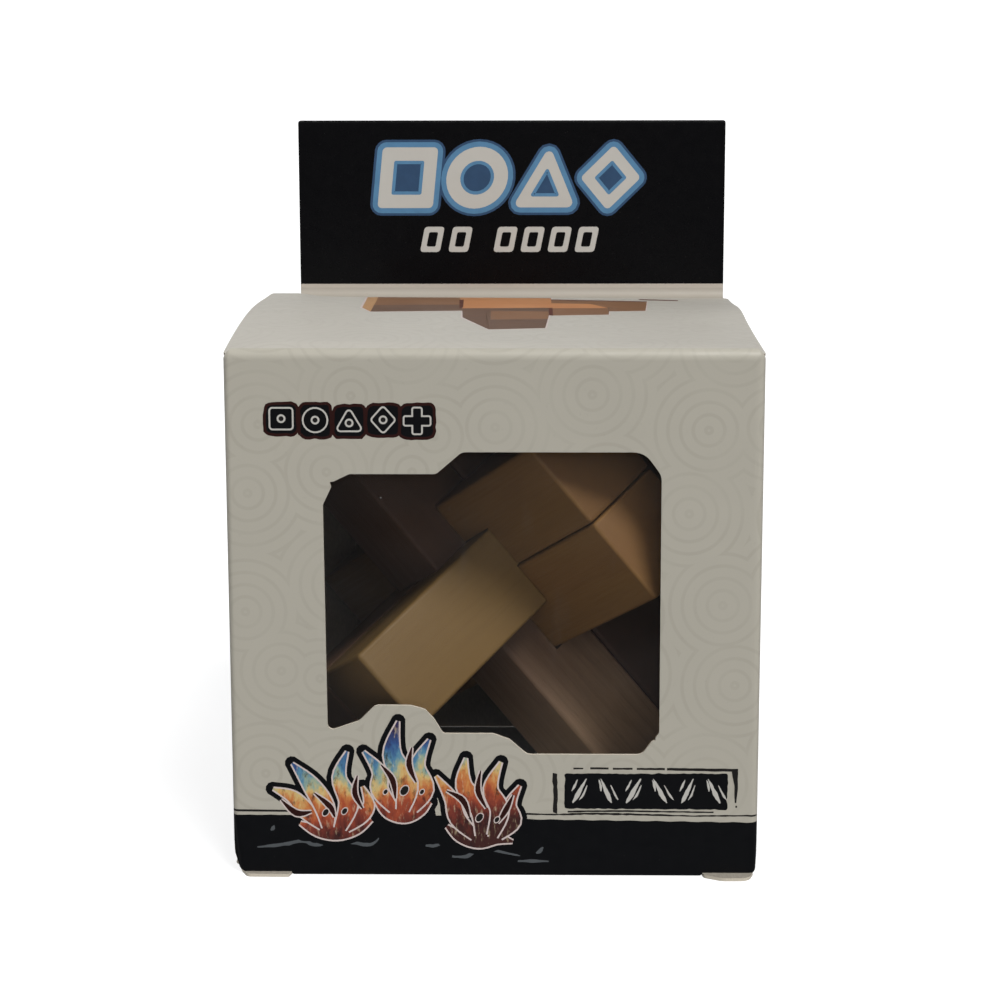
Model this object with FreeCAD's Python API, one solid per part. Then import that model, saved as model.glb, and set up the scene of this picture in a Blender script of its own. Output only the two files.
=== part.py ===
import FreeCAD, Part
import math
import os

# Six-piece wooden burr puzzle in its straight-tuck window carton.
# Frame: origin at the centre of the carton's foot, +Z up, +X to the right, the window faces -Y.
# All sizes in millimetres.

# ---- driving dimensions: carton ----
CARTON_WIDTH = 75.0            # X, outside
CARTON_DEPTH = 75.0            # Y, outside
CARTON_HEIGHT = 75.0           # Z, outside, without the header
BOARD = 0.45                   # thickness of the folding board
FILM = 0.20                    # thickness of the clear window film
FILM_OVERLAP = 3.4             # glued border of the film round the window
HEADER_LEFT = -33.67           # the header is a little narrower than the carton and off centre
HEADER_RIGHT = 36.90
HEADER_TOP = 104.30
PLY_GAP = 0.05                 # gap between a folding part's free edge and its neighbour
LID_GAP = 0.10                 # free play between the lid's edges and the walls
TUCK_LENGTH = 13.0             # depth of both tuck flaps
TUCK_TILT = 9.0                # degrees, lean of both tuck flaps away from the front panel
TUCK_MARGIN = 1.6              # how much shorter the tuck flaps are than the carton at each side
DUST_LENGTH = 20.5             # reach of the four dust flaps
GLUE_FLAP_WIDTH = 12.0
# height of the lid's bow above its flat state, by distance from the carton's middle:
# a stick end presses the lid up left of the middle, and the right edge rises least
LID_BOW = [(-37.5, 2.85), (-24.0, 2.55), (-11.0, 2.22), (10.0, 1.62), (37.5, 0.80)]

# ---- driving dimensions: puzzle ----
STICK_WIDTH = 14.2             # square section of every stick
STICK_LENGTH = 74.0
STICK_PLAY = 0.05              # each stick's face stands this far inside its share of the lattice
STICK_CHAMFER = 0.55           # broken long edges and ends
PUZZLE_CENTRE = (0.8906, -1.4031, 38.2000)
# directions of the three stick pairs in the carton: the key pair, the falling pair, the rising pair
KEY_DIR = (0.46423, -0.77269, 0.43295)
FALL_DIR = (0.64412, -0.04100, -0.76382)
RISE_DIR = (0.60795, 0.63346, 0.47867)

os.makedirs("parts", exist_ok=True)
V = FreeCAD.Vector

half_w, half_d = CARTON_WIDTH / 2, CARTON_DEPTH / 2
in_w, in_d = half_w - BOARD, half_d - BOARD


def box(x0, x1, y0, y1, z0, z1):
    return Part.makeBox(x1 - x0, y1 - y0, z1 - z0, V(x0, y0, z0))


def save(name, shape):
    shape = shape.removeSplitter() if len(shape.Solids) == 1 else shape
    assert shape.isValid() and len(shape.Solids) == 1, (name, len(shape.Solids))
    shape.Solids[0].exportStep("parts/%s.step" % name)


def rounded_loop(points, to3d):
    # closed wire through (u, v, radius) corners, each corner eased by an arc of its radius
    edges, n, ends = [], len(points), []
    for i in range(n):
        p = V(points[i][0], points[i][1], 0)
        a = V(points[i - 1][0], points[i - 1][1], 0) - p
        b = V(points[(i + 1) % n][0], points[(i + 1) % n][1], 0) - p
        r = points[i][2]
        if r <= 0:
            ends.append((p, p, None))
            continue
        ang = a.getAngle(b)
        run = min(r / math.tan(ang / 2), a.Length * 0.48, b.Length * 0.48)
        r = run * math.tan(ang / 2)
        ua, ub = V(a).normalize(), V(b).normalize()
        bis = V(ua + ub).normalize()
        mid = p + bis * (r / math.sin(ang / 2) - r)
        ends.append((p + ua * run, p + ub * run, mid))
    for i in range(n):
        start, stop, mid = ends[i]
        if mid is not None:
            edges.append(Part.Arc(to3d(start), to3d(mid), to3d(stop)).toShape())
        nxt = ends[(i + 1) % n][0]
        if (nxt - stop).Length > 1e-6:
            edges.append(Part.makeLine(to3d(stop), to3d(nxt)))
    return Part.Wire(Part.__sortEdges__(edges))


# ---- fixed walls of the carton ----
# window outline in the front panel as (x, z, corner radius)
WINDOW = [
    (-23.75, 21.30, 0.8), (-23.95, 54.10, 1.2), (-22.30, 57.40, 1.2), (-20.20, 58.50, 1.2),
    (-8.10, 58.50, 1.2), (-4.50, 61.60, 1.5), (20.90, 61.60, 3.0), (23.30, 58.30, 2.5),
    (23.35, 21.10, 1.0), (21.80, 20.70, 0.8), (19.90, 18.00, 1.6), (4.60, 18.00, 1.5),
    (2.10, 20.20, 1.5), (-0.20, 21.05, 1.2), (-7.30, 21.05, 0.6), (-8.60, 23.20, 1.0),
    (-9.90, 24.60, 1.0), (-11.90, 25.15, 1.0), (-16.90, 25.20, 1.2), (-19.20, 22.90, 1.2),
]
front = box(-half_w, half_w, -half_d, -in_d, 0, CARTON_HEIGHT)
loop = rounded_loop(WINDOW, lambda p: V(p.x, -half_d - 1, p.y))
front = front.cut(Part.Face(loop).extrude(V(0, BOARD + 2, 0)))
save("front_panel", front)

xs = [p[0] for p in WINDOW]
zs = [p[1] for p in WINDOW]
film_loop = rounded_loop(
    [(min(xs) - FILM_OVERLAP, min(zs) - FILM_OVERLAP, 2), (min(xs) - FILM_OVERLAP, max(zs) + FILM_OVERLAP, 2),
     (max(xs) + FILM_OVERLAP, max(zs) + FILM_OVERLAP, 2), (max(xs) + FILM_OVERLAP, min(zs) - FILM_OVERLAP, 2)],
    lambda p: V(p.x, -in_d, p.y))
save("window_film", Part.Face(film_loop).extrude(V(0, FILM, 0)))

# the side walls stop short of top and bottom by the folded dust flaps and the closing panels
SIDE_TOP = CARTON_HEIGHT - 2 * BOARD - 2 * PLY_GAP - 0.03
SIDE_FOOT = 2 * BOARD + 2 * PLY_GAP
save("left_side_panel", box(-half_w, -in_w, -in_d, in_d, SIDE_FOOT, SIDE_TOP))
save("right_side_panel", box(in_w, half_w, -in_d, in_d, SIDE_FOOT, SIDE_TOP))

# the back wall carries on upward as the header's rear ply
back = box(-half_w, half_w, in_d, half_d, 0, CARTON_HEIGHT)
ply_loop = rounded_loop(
    [(HEADER_LEFT, CARTON_HEIGHT - 5, 0), (HEADER_LEFT, HEADER_TOP, 1.0), (HEADER_RIGHT, HEADER_TOP, 1.0), (HEADER_RIGHT, CARTON_HEIGHT - 5, 0)],
    lambda p: V(p.x, in_d, p.y))
save("back_panel", back.fuse(Part.Face(ply_loop).extrude(V(0, BOARD, 0))))

# the header's front ply is the same strip folded over at the top, down to the lid's crease
front_ply_loop = rounded_loop(
    [(HEADER_LEFT, CARTON_HEIGHT + PLY_GAP, 0), (HEADER_LEFT, HEADER_TOP, 1.0), (HEADER_RIGHT, HEADER_TOP, 1.0), (HEADER_RIGHT, CARTON_HEIGHT + PLY_GAP, 0)],
    lambda p: V(p.x, in_d - BOARD, p.y))
save("header_front_ply", Part.Face(front_ply_loop).extrude(V(0, BOARD, 0)))

# the glue flap comes off the left wall's rear edge and is stuck to the inside of the back wall
glue_loop = rounded_loop(
    [(-in_w, SIDE_FOOT + 0.8, 0), (-in_w, SIDE_TOP - 0.8, 0), (-in_w + GLUE_FLAP_WIDTH, SIDE_TOP - 5.0, 1.0), (-in_w + GLUE_FLAP_WIDTH, SIDE_FOOT + 5.0, 1.0)],
    lambda p: V(p.x, in_d - BOARD, p.y))
save("glue_flap", Part.Face(glue_loop).extrude(V(0, BOARD, 0)))

# ---- lid ----
LID_FRONT, LID_BACK = -in_d + LID_GAP, in_d - BOARD - PLY_GAP


def lid_section(x, rise):
    mid, half = (LID_FRONT + LID_BACK) / 2, (LID_BACK - LID_FRONT) / 2
    steps = 12
    ys = [LID_FRONT + (LID_BACK - LID_FRONT) * i / steps for i in range(steps + 1)]
    top = [V(x, y, CARTON_HEIGHT + rise * (1 - ((y - mid) / half) ** 2)) for y in ys]
    low = [V(p.x, p.y, p.z - BOARD) for p in top]
    upper, lower = Part.BSplineCurve(), Part.BSplineCurve()
    upper.interpolate(top)
    lower.interpolate(low)
    return Part.Wire([upper.toShape(), Part.makeLine(top[-1], low[-1]), lower.toShape(), Part.makeLine(low[0], top[0])])


save("lid_panel", Part.makeLoft([lid_section(x, rise) for x, rise in LID_BOW], True, False))


def tuck_outline(length, width):
    # plain tongue with well rounded free corners, drawn from its crease (v = 0) to its free edge
    h = width / 2
    return [(-h, 0, 0), (-h, length * 0.45, 3.0), (-h + 5.5, length, 5.0), (h - 5.5, length, 5.0), (h, length * 0.45, 3.0), (h, 0, 0)]


TUCK_WIDTH = CARTON_WIDTH - 2 * TUCK_MARGIN
tilt = math.radians(TUCK_TILT)
# lid's tuck flap: hangs from the lid's front edge behind the front panel, leaning inward
lid_tuck = Part.Face(rounded_loop(tuck_outline(TUCK_LENGTH, TUCK_WIDTH), lambda p: V(p.x, 0, -p.y))).extrude(V(0, BOARD, 0))
lid_tuck.rotate(V(0, 0, 0), V(1, 0, 0), TUCK_TILT)
lid_tuck.translate(V(0, LID_FRONT + 0.02, CARTON_HEIGHT - BOARD - PLY_GAP - 0.05))
save("lid_tuck_flap", lid_tuck)

# bottom's tuck flap: the same tongue, standing up from the bottom's front edge
bottom_tuck = Part.Face(rounded_loop(tuck_outline(TUCK_LENGTH, TUCK_WIDTH), lambda p: V(p.x, 0, p.y))).extrude(V(0, BOARD, 0))
bottom_tuck.rotate(V(0, 0, 0), V(1, 0, 0), -TUCK_TILT)
bottom_tuck.translate(V(0, LID_FRONT + 0.02, BOARD + PLY_GAP + 0.05))
save("bottom_tuck_flap", bottom_tuck)

# ---- bottom closing panel: spans under the side walls, between front and back ----
save("bottom_panel", box(-half_w, half_w, LID_FRONT, in_d, 0, BOARD))


# ---- dust flaps: folded in from the side walls, under the lid and over the bottom ----
def dust_outline():
    # (reach from the side crease, y): front side bevelled lightly, rear side at 45 degrees
    return [(0, -34.8, 0), (2.5, -34.4, 1.0), (DUST_LENGTH, -25.5, 2.5), (DUST_LENGTH, 35.6 - DUST_LENGTH, 2.5), (0, 35.6, 0)]


for side, sign in (("left", 1), ("right", -1)):
    for level, z in (("lid", SIDE_TOP + 0.02), ("bottom", SIDE_FOOT - PLY_GAP - BOARD)):
        wire = rounded_loop(dust_outline(), lambda p: V(-sign * half_w + sign * p.x, p.y, z))
        save("%s_dust_flap_%s" % (level, side), Part.Face(wire).extrude(V(0, 0, BOARD)))

# ---- the puzzle: six sticks on a lattice of half stick widths ----
# lattice axes: X along the key pair, Y along the falling pair, Z along the rising pair
UNIT = STICK_WIDTH / 2
HALF = STICK_LENGTH / 2 / UNIT
STICKS = {
    # name: (lattice box, removed unit cubes by their low corner)
    "key_stick": (((-HALF, HALF), (0, 2), (-1, 1)), []),
    "key_neighbour_stick": (((-HALF, HALF), (-2, 0), (-1, 1)), [
        (-1, -2, 0), (-1, -1, -1), (-1, -1, 0), (0, -2, 0), (0, -1, -1), (0, -1, 0), (1, -1, -1), (1, -1, 0)]),
    "falling_stick_left": (((-1, 1), (-HALF, HALF), (-2, 0)), [
        (-1, -2, -1), (-1, -1, -2), (-1, -1, -1), (-1, 0, -2), (-1, 0, -1), (-1, 1, -1), (0, -2, -1), (0, 0, -1), (0, 1, -1)]),
    "falling_stick_right": (((-1, 1), (-HALF, HALF), (0, 2)), [
        (-1, -1, 0), (-1, -1, 1), (-1, 0, 0), (-1, 0, 1), (-1, 1, 0), (0, 0, 0), (0, 1, 0)]),
    "rising_stick_rear": (((-2, 0), (-1, 1), (-HALF, HALF)), [
        (-2, -1, -1), (-2, -1, 0), (-2, 0, -1), (-2, 0, 0), (-1, 0, -1), (-1, 0, 0)]),
    "rising_stick_front": (((0, 2), (-1, 1), (-HALF, HALF)), [
        (0, -1, -2), (0, -1, -1), (0, -1, 0), (0, -1, 1), (0, 0, -2), (0, 0, -1), (0, 0, 0), (0, 0, 1), (1, 0, -1), (1, 0, 0)]),
}
turn = FreeCAD.Rotation(V(*KEY_DIR), V(*FALL_DIR), V(*RISE_DIR), "ZXY")
place = FreeCAD.Placement(V(*PUZZLE_CENTRE), turn)

for name, (extent, removed) in STICKS.items():
    long_axis = max(range(3), key=lambda i: extent[i][1] - extent[i][0])
    low = [e[0] * UNIT + (0 if i == long_axis else STICK_PLAY) for i, e in enumerate(extent)]
    high = [e[1] * UNIT - (0 if i == long_axis else STICK_PLAY) for i, e in enumerate(extent)]
    stick = box(low[0], high[0], low[1], high[1], low[2], high[2])
    stick = stick.makeChamfer(STICK_CHAMFER, stick.Edges)
    cubes = [box(*[v for a in cube for v in (a * UNIT - STICK_PLAY, (a + 1) * UNIT + STICK_PLAY)]) for cube in removed]
    if cubes:
        stick = stick.cut(cubes[0].multiFuse(cubes[1:]) if len(cubes) > 1 else cubes[0])
    stick.Placement = place
    save(name, stick)
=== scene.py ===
import math

import bmesh
import bpy
import numpy as np
from mathutils import Matrix, Vector, noise
from mathutils.geometry import delaunay_2d_cdt


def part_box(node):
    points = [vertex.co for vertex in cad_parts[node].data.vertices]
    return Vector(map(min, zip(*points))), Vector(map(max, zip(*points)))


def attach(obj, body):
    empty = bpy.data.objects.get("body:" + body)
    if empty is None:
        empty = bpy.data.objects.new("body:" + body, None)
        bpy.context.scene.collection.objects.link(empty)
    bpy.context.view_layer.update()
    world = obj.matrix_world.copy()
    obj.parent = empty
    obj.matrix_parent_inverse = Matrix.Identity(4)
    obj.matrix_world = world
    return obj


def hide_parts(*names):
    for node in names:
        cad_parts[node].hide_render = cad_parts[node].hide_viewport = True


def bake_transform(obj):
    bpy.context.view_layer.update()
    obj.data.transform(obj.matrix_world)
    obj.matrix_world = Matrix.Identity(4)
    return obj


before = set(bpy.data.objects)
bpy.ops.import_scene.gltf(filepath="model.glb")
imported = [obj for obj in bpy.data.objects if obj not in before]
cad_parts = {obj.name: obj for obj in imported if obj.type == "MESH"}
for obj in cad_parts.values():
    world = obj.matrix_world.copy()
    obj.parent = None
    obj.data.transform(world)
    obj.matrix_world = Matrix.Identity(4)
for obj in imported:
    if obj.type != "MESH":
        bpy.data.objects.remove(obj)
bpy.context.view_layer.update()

MM = 0.001


# ------------------------------------------------------------------ sizes, all read from the frame, in mm
def node_box(name):
    low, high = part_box(name)
    return [c * 1000 for c in low], [c * 1000 for c in high]


front_low, front_high = node_box("front_panel")
side_low, side_high = node_box("left_side_panel")
back_low, back_high = node_box("back_panel")
header_low, header_high = node_box("header_front_ply")
lid_low, lid_high = node_box("lid_panel")
tuck_low, tuck_high = node_box("lid_tuck_flap")
base_low, base_high = node_box("bottom_panel")
base_tuck_low, base_tuck_high = node_box("bottom_tuck_flap")
film_low, film_high = node_box("window_film")
glue_low, glue_high = node_box("glue_flap")

LEFT, RIGHT = front_low[0], front_high[0]
FRONT, BACK = front_low[1], back_high[1]
BOARD = front_high[1] - front_low[1]
TOP = front_high[2]
SIDE_FOOT, SIDE_TOP = side_low[2], side_high[2]
HEAD_LEFT, HEAD_RIGHT, HEAD_TOP = header_low[0], header_high[0], header_high[2]
HEAD_FACE = header_low[1]
LID_FRONT, LID_BACK = lid_low[1], lid_high[1]
CORNER = 0.9  # outer radius of the carton's upright folds


# ------------------------------------------------------------------ plane outlines, in mm
def rounded(points, steps=7):
    """Closed outline from (x, y, radius) corners."""
    out, n = [], len(points)
    for i in range(n):
        p = Vector(points[i][:2])
        r = points[i][2] if len(points[i]) > 2 else 0
        a, b = Vector(points[i - 1][:2]) - p, Vector(points[(i + 1) % n][:2]) - p
        if r <= 0:
            out.append(tuple(p))
            continue
        ang = a.angle(b)
        run = min(r / math.tan(ang / 2), a.length * 0.48, b.length * 0.48)
        r = run * math.tan(ang / 2)
        ua, ub = a.normalized(), b.normalized()
        start, stop = p + ua * run, p + ub * run
        centre = p + (ua + ub).normalized() * (r / math.sin(ang / 2))
        a0 = math.atan2(start.y - centre.y, start.x - centre.x)
        a1 = math.atan2(stop.y - centre.y, stop.x - centre.x)
        d = (a1 - a0 + math.pi) % (2 * math.pi) - math.pi
        for k in range(steps + 1):
            t = a0 + d * k / steps
            out.append((centre.x + r * math.cos(t), centre.y + r * math.sin(t)))
    return out


def spline(points, closed=False, steps=6):
    """Catmull-Rom line through the points."""
    n, out = len(points), []
    spans = n if closed else n - 1
    for i in range(spans):
        p = [points[(i + k - 1) % n] if closed else points[min(max(i + k - 1, 0), n - 1)] for k in range(4)]
        for k in range(steps):
            t = k / steps
            out.append(tuple(
                0.5 * (2 * p[1][j] + (p[2][j] - p[0][j]) * t + (2 * p[0][j] - 5 * p[1][j] + 4 * p[2][j] - p[3][j]) * t * t
                       + (3 * p[1][j] - p[0][j] - 3 * p[2][j] + p[3][j]) * t ** 3) for j in range(len(p[0]))))
    if not closed:
        out.append(tuple(points[-1]))
    return out


def stroke(points, grow=0.0, steps=5):
    """Closed outline of a brush stroke along (x, y, width) points, grown by grow on every side."""
    line = spline(points, steps=steps)
    left, right = [], []
    for i, (x, y, w) in enumerate(line):
        a, b = line[max(i - 1, 0)], line[min(i + 1, len(line) - 1)]
        dx, dy = b[0] - a[0], b[1] - a[1]
        d = math.hypot(dx, dy) or 1.0
        nx, ny, h = -dy / d, dx / d, max(w, 0.02) / 2 + grow
        left.append((x + nx * h, y + ny * h))
        right.append((x - nx * h, y - ny * h))
    if grow > 0.3:  # round the ends of a wide outline
        for side, at, nxt in ((right, 0, 1), (left, -1, -2)):
            x, y, w = line[at]
            dx, dy = x - line[nxt][0], y - line[nxt][1]
            d = math.hypot(dx, dy) or 1.0
            h, a0 = max(w, 0.02) / 2 + grow, math.atan2(dy, dx)
            if at == 0:
                cap0 = [(x + h * math.cos(a0 + t), y + h * math.sin(a0 + t)) for t in (-1.1, -0.55, 0, 0.55, 1.1)]
            else:
                cap1 = [(x + h * math.cos(a0 + t), y + h * math.sin(a0 + t)) for t in (1.1, 0.55, 0, -0.55, -1.1)]
        return left + cap1 + right[::-1] + cap0
    return left + right[::-1]


def jitter(poly, amount, seed, step=0.6):
    """The outline with short uneven nicks, as dry ink leaves."""
    out, n = [], len(poly)
    for i in range(n):
        a, b = Vector(poly[i]), Vector(poly[(i + 1) % n])
        run = (b - a).length
        parts = max(1, int(run / step))
        normal = Vector((b.y - a.y, a.x - b.x)) / (run or 1.0)
        for k in range(parts):
            p = a.lerp(b, k / parts)
            s = noise.noise(Vector((p.x * 1.7 + seed * 9.1, p.y * 1.7, seed * 3.3))) + 0.5 * noise.noise(Vector((p.x * 5 + seed, p.y * 5, seed)))
            out.append((p.x + normal.x * s * amount, p.y + normal.y * s * amount))
    return out


def divided(poly, step):
    """The same outline with its long sides cut into short ones, so that it can bend."""
    out, n = [], len(poly)
    for i in range(n):
        a, b = Vector(poly[i]), Vector(poly[(i + 1) % n])
        parts = max(1, math.ceil((b - a).length / step))
        out.extend(tuple(a.lerp(b, k / parts)) for k in range(parts))
    return out


def circle(x, y, r, n=20, sx=1.0, lean=0.0):
    return [(x + r * sx * math.cos(2 * math.pi * k / n) + lean * r * math.sin(2 * math.pi * k / n), y + r * math.sin(2 * math.pi * k / n)) for k in range(n)]


def within(points, poly):
    """Which of the points (n, 2) lie inside the closed outline, by winding number."""
    p = np.asarray(poly, float)
    a, b = p, np.roll(p, -1, axis=0)
    x, y = points[:, :1], points[:, 1:2]
    side = (b[:, 0] - a[:, 0]) * (y - a[:, 1]) - (x - a[:, 0]) * (b[:, 1] - a[:, 1])
    up = (a[:, 1] <= y) & (b[:, 1] > y) & (side > 0)
    down = (a[:, 1] > y) & (b[:, 1] <= y) & (side < 0)
    return (up.sum(1) - down.sum(1)) != 0


def simple_shift(poly, d):
    """Outline moved outward by d, for small convex shapes."""
    n, out = len(poly), []
    area = sum(poly[i][0] * poly[(i + 1) % n][1] - poly[(i + 1) % n][0] * poly[i][1] for i in range(n))
    s = 1 if area > 0 else -1
    for i in range(n):
        p, a, b = Vector(poly[i]), Vector(poly[i - 1]), Vector(poly[(i + 1) % n])
        n1 = Vector(((p - a).y, -(p - a).x)).normalized() * s if (p - a).length > 1e-9 else Vector((0, 0))
        n2 = Vector(((b - p).y, -(b - p).x)).normalized() * s if (b - p).length > 1e-9 else Vector((0, 0))
        m = n1 + n2
        m = m.normalized() if m.length > 1e-6 else n1
        k = d / max(0.45, m.dot(n1)) if n1.length > 0 else d
        out.append((p.x + m.x * k, p.y + m.y * k))
    return out


# ------------------------------------------------------------------ node materials
def lin(r, g, b):
    """sRGB 0-255 to a linear colour."""
    return tuple((c / 255 / 12.92 if c / 255 <= 0.04045 else ((c / 255 + 0.055) / 1.055) ** 2.4) for c in (r, g, b)) + (1.0,)


class Shader:
    """Short words for building one node material."""

    def __init__(self, name):
        self.mat = bpy.data.materials.new(name)
        self.mat.use_nodes = True
        self.tree = self.mat.node_tree
        self.tree.nodes.clear()
        self.out = self.tree.nodes.new("ShaderNodeOutputMaterial")

    def node(self, kind, inputs=None, **settings):
        n = self.tree.nodes.new("ShaderNode" + kind)
        for k, v in settings.items():
            setattr(n, k, v)
        for k, v in (inputs or {}).items():
            self.put(n.inputs[k], v)
        return n

    def put(self, socket, value):
        if isinstance(value, bpy.types.NodeSocket):
            self.tree.links.new(value, socket)
        elif value is not None:
            socket.default_value = value

    def math(self, op, a, b=None, clamp=False):
        n = self.node("Math", operation=op, use_clamp=clamp)
        self.put(n.inputs[0], a)
        if b is not None:
            self.put(n.inputs[1], b)
        return n.outputs[0]

    def mix(self, fac, a, b, blend="MIX"):
        n = self.node("Mix", data_type="RGBA", blend_type=blend)
        n.clamp_factor = True
        self.put(n.inputs[0], fac)
        self.put(n.inputs[6], a)
        self.put(n.inputs[7], b)
        return n.outputs[2]

    def between(self, value, low, high, to_low=0.0, to_high=1.0, kind="LINEAR"):
        n = self.node("MapRange", interpolation_type=kind)
        for i, v in enumerate((value, low, high, to_low, to_high)):
            self.put(n.inputs[i], v)
        return n.outputs[0]

    def noise(self, vector, scale, detail=2.0, rough=0.5, **more):
        n = self.node("TexNoise", {"Vector": vector, "Scale": scale, "Detail": detail, "Roughness": rough}, **more)
        return n.outputs["Fac"]

    def ramp(self, value, stops, kind="LINEAR"):
        n = self.node("ValToRGB", {"Fac": value})
        n.color_ramp.interpolation = kind
        e = n.color_ramp.elements
        while len(e) < len(stops):
            e.new(0.5)
        for i, (at, colour) in enumerate(stops):
            e[i].position = at
            e[i].color = colour
        return n.outputs["Color"]

    def sheet(self):
        """Place on the flat board, in mm."""
        uv = self.node("UVMap", uv_map="sheet")
        n = self.node("VectorMath", operation="SCALE")
        self.put(n.inputs[0], uv.outputs[0])
        n.inputs["Scale"].default_value = 100.0
        return n.outputs[0]

    def object_mm(self, scale=1000.0):
        co = self.node("TexCoord")
        n = self.node("VectorMath", operation="SCALE")
        self.put(n.inputs[0], co.outputs["Object"])
        n.inputs["Scale"].default_value = scale
        return n.outputs[0]

    def stretch(self, vector, x, y, z, turn=(0, 0, 0), move=(0, 0, 0)):
        n = self.node("Mapping", {"Vector": vector, "Scale": (x, y, z), "Rotation": turn, "Location": move})
        return n.outputs[0]

    def bump(self, height, strength, distance, normal=None):
        n = self.node("Bump", {"Height": height, "Strength": strength, "Distance": distance})
        if normal is not None:
            self.put(n.inputs["Normal"], normal)
        return n.outputs[0]

    def surface(self, colour, roughness, normal=None, specular=0.5, coat=0.0, coat_rough=0.1, sheen=0.0):
        p = self.node("BsdfPrincipled")
        self.put(p.inputs["Base Color"], colour)
        self.put(p.inputs["Roughness"], roughness)
        p.inputs["Specular IOR Level"].default_value = specular
        if coat:
            p.inputs["Coat Weight"].default_value = coat
            p.inputs["Coat Roughness"].default_value = coat_rough
        if sheen:
            p.inputs["Sheen Weight"].default_value = sheen
        if normal is not None:
            self.put(p.inputs["Normal"], normal)
        self.tree.links.new(p.outputs[0], self.out.inputs["Surface"])
        return p


def rings(s, p, cell=12.5, spacing=1.75, seed=0.0):
    """Faint printed discs of thin concentric rings, 0 to 1."""
    spot = s.stretch(p, 1.0, 1.0, 0.0, move=(seed, seed * 0.37, 0))
    v = s.node("TexVoronoi", {"Vector": spot, "Scale": 1 / cell, "Randomness": 0.72}, voronoi_dimensions="2D", feature="F1")
    d = s.math("MULTIPLY", v.outputs["Distance"], cell * 2 * math.pi / spacing)
    return s.between(s.math("SINE", d), 0.30, 0.92, kind="SMOOTHSTEP")


def board_print(name, base, pattern=0.055, rough=0.46, specular=0.35, seed=0.0):
    """White-coated folding board with a faint ring print, seen on the outside of the carton."""
    s = Shader(name)
    p = s.sheet()
    colour = s.mix(s.noise(p, 0.045, 3.0, 0.55), tuple(c * 0.955 for c in base[:3]) + (1,), tuple(min(1, c * 1.035) for c in base[:3]) + (1,))
    if pattern:
        faded = s.between(s.noise(s.stretch(p, 1, 1, 1, move=(7 + seed, 3, 0)), 0.11, 2.0), 0.3, 0.62, 0.35, 1.0)
        print_dark = tuple(c * k for c, k in zip(base[:3], (0.80, 0.79, 0.775))) + (1,)
        amount = s.math("MULTIPLY", s.math("MULTIPLY", rings(s, p, seed=seed), faded), pattern * 4.2)
        colour = s.mix(amount, colour, print_dark)
    grain = s.noise(p, 4.5, 3.0, 0.65)
    specks = s.between(s.noise(s.stretch(p, 1, 1, 1, move=(2, 9, 4)), 2.1, 1.0), 0.70, 0.78)
    colour = s.mix(s.math("MULTIPLY", grain, 0.09), colour, tuple(c * 0.8 for c in base[:3]) + (1,))
    colour = s.mix(s.math("MULTIPLY", specks, 0.10), colour, tuple(c * 0.62 for c in base[:3]) + (1,))
    r = s.between(s.noise(p, 0.35, 3.0), 0.25, 0.75, rough - 0.06, rough + 0.08)
    normal = s.bump(s.noise(p, 0.12, 2.0), 0.35, 0.00025, s.bump(grain, 0.25, 0.00003))
    s.surface(colour, r, normal, specular)
    return s.mat


def ink(name, colour, rough=0.34, specular=0.30, mottle=0.25, seed=0.0, light=None):
    """Solid printed ink on coated board."""
    s = Shader(name)
    p = s.stretch(s.sheet(), 1, 1, 1, move=(seed, seed * 0.7, 0))
    light = light or tuple(min(1, c * (1 + mottle) + 0.0015) for c in colour[:3]) + (1,)
    c = s.mix(s.noise(p, 0.5, 3.0, 0.6), colour, light)
    specks = s.between(s.noise(p, 3.2, 2.0), 0.72, 0.80)
    c = s.mix(s.math("MULTIPLY", specks, 0.16), c, lin(120, 118, 115))
    r = s.between(s.noise(p, 0.8, 3.0), 0.25, 0.75, rough - 0.05, rough + 0.09)
    normal = s.bump(s.noise(p, 0.12, 2.0), 0.35, 0.00025, s.bump(s.noise(p, 4.5, 3.0), 0.18, 0.00003))
    s.surface(c, r, normal, specular)
    return s.mat


def flame_ink(name):
    """Print that runs from deep blue at the top through pale yellow to ember red at the foot."""
    s = Shader(name)
    p = s.sheet()
    xyz = s.node("SeparateXYZ")
    s.put(xyz.inputs[0], p)
    x, z = xyz.outputs[0], xyz.outputs[1]
    rag = s.noise(s.stretch(p, 0.55, 0.22, 1, turn=(0, 0, 0.5)), 1.0, 4.0, 0.62)
    h = s.between(z, 5.0, 23.5)
    h = s.math("ADD", h, s.math("MULTIPLY", s.math("SUBTRACT", rag, 0.5), 0.62))
    h = s.math("ADD", h, s.between(x, -31.0, 3.0, 0.10, -0.17))
    c = s.ramp(h, [
        (0.00, lin(60, 30, 28)), (0.15, lin(112, 48, 38)), (0.27, lin(158, 72, 44)), (0.38, lin(188, 120, 66)),
        (0.47, lin(198, 172, 112)), (0.55, lin(140, 160, 144)), (0.63, lin(78, 128, 158)), (0.75, lin(46, 78, 132)), (0.92, lin(44, 36, 74))])
    wisps = s.between(s.noise(s.stretch(p, 1.5, 0.4, 1, turn=(0, 0, 0.45)), 1.0, 3.0, 0.7), 0.56, 0.7)
    c = s.mix(s.math("MULTIPLY", wisps, 0.45), c, lin(214, 196, 160))
    soot = s.between(s.noise(s.stretch(p, 0.8, 0.4, 1, turn=(0, 0, -0.4), move=(5, 2, 0)), 1.0, 4.0, 0.7), 0.54, 0.68)
    c = s.mix(s.math("MULTIPLY", soot, 0.8), c, lin(26, 18, 22))
    normal = s.bump(s.noise(p, 4.5, 3.0), 0.18, 0.00003)
    s.surface(c, s.between(rag, 0.3, 0.7, 0.32, 0.46), normal, 0.3)
    return s.mat


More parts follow.
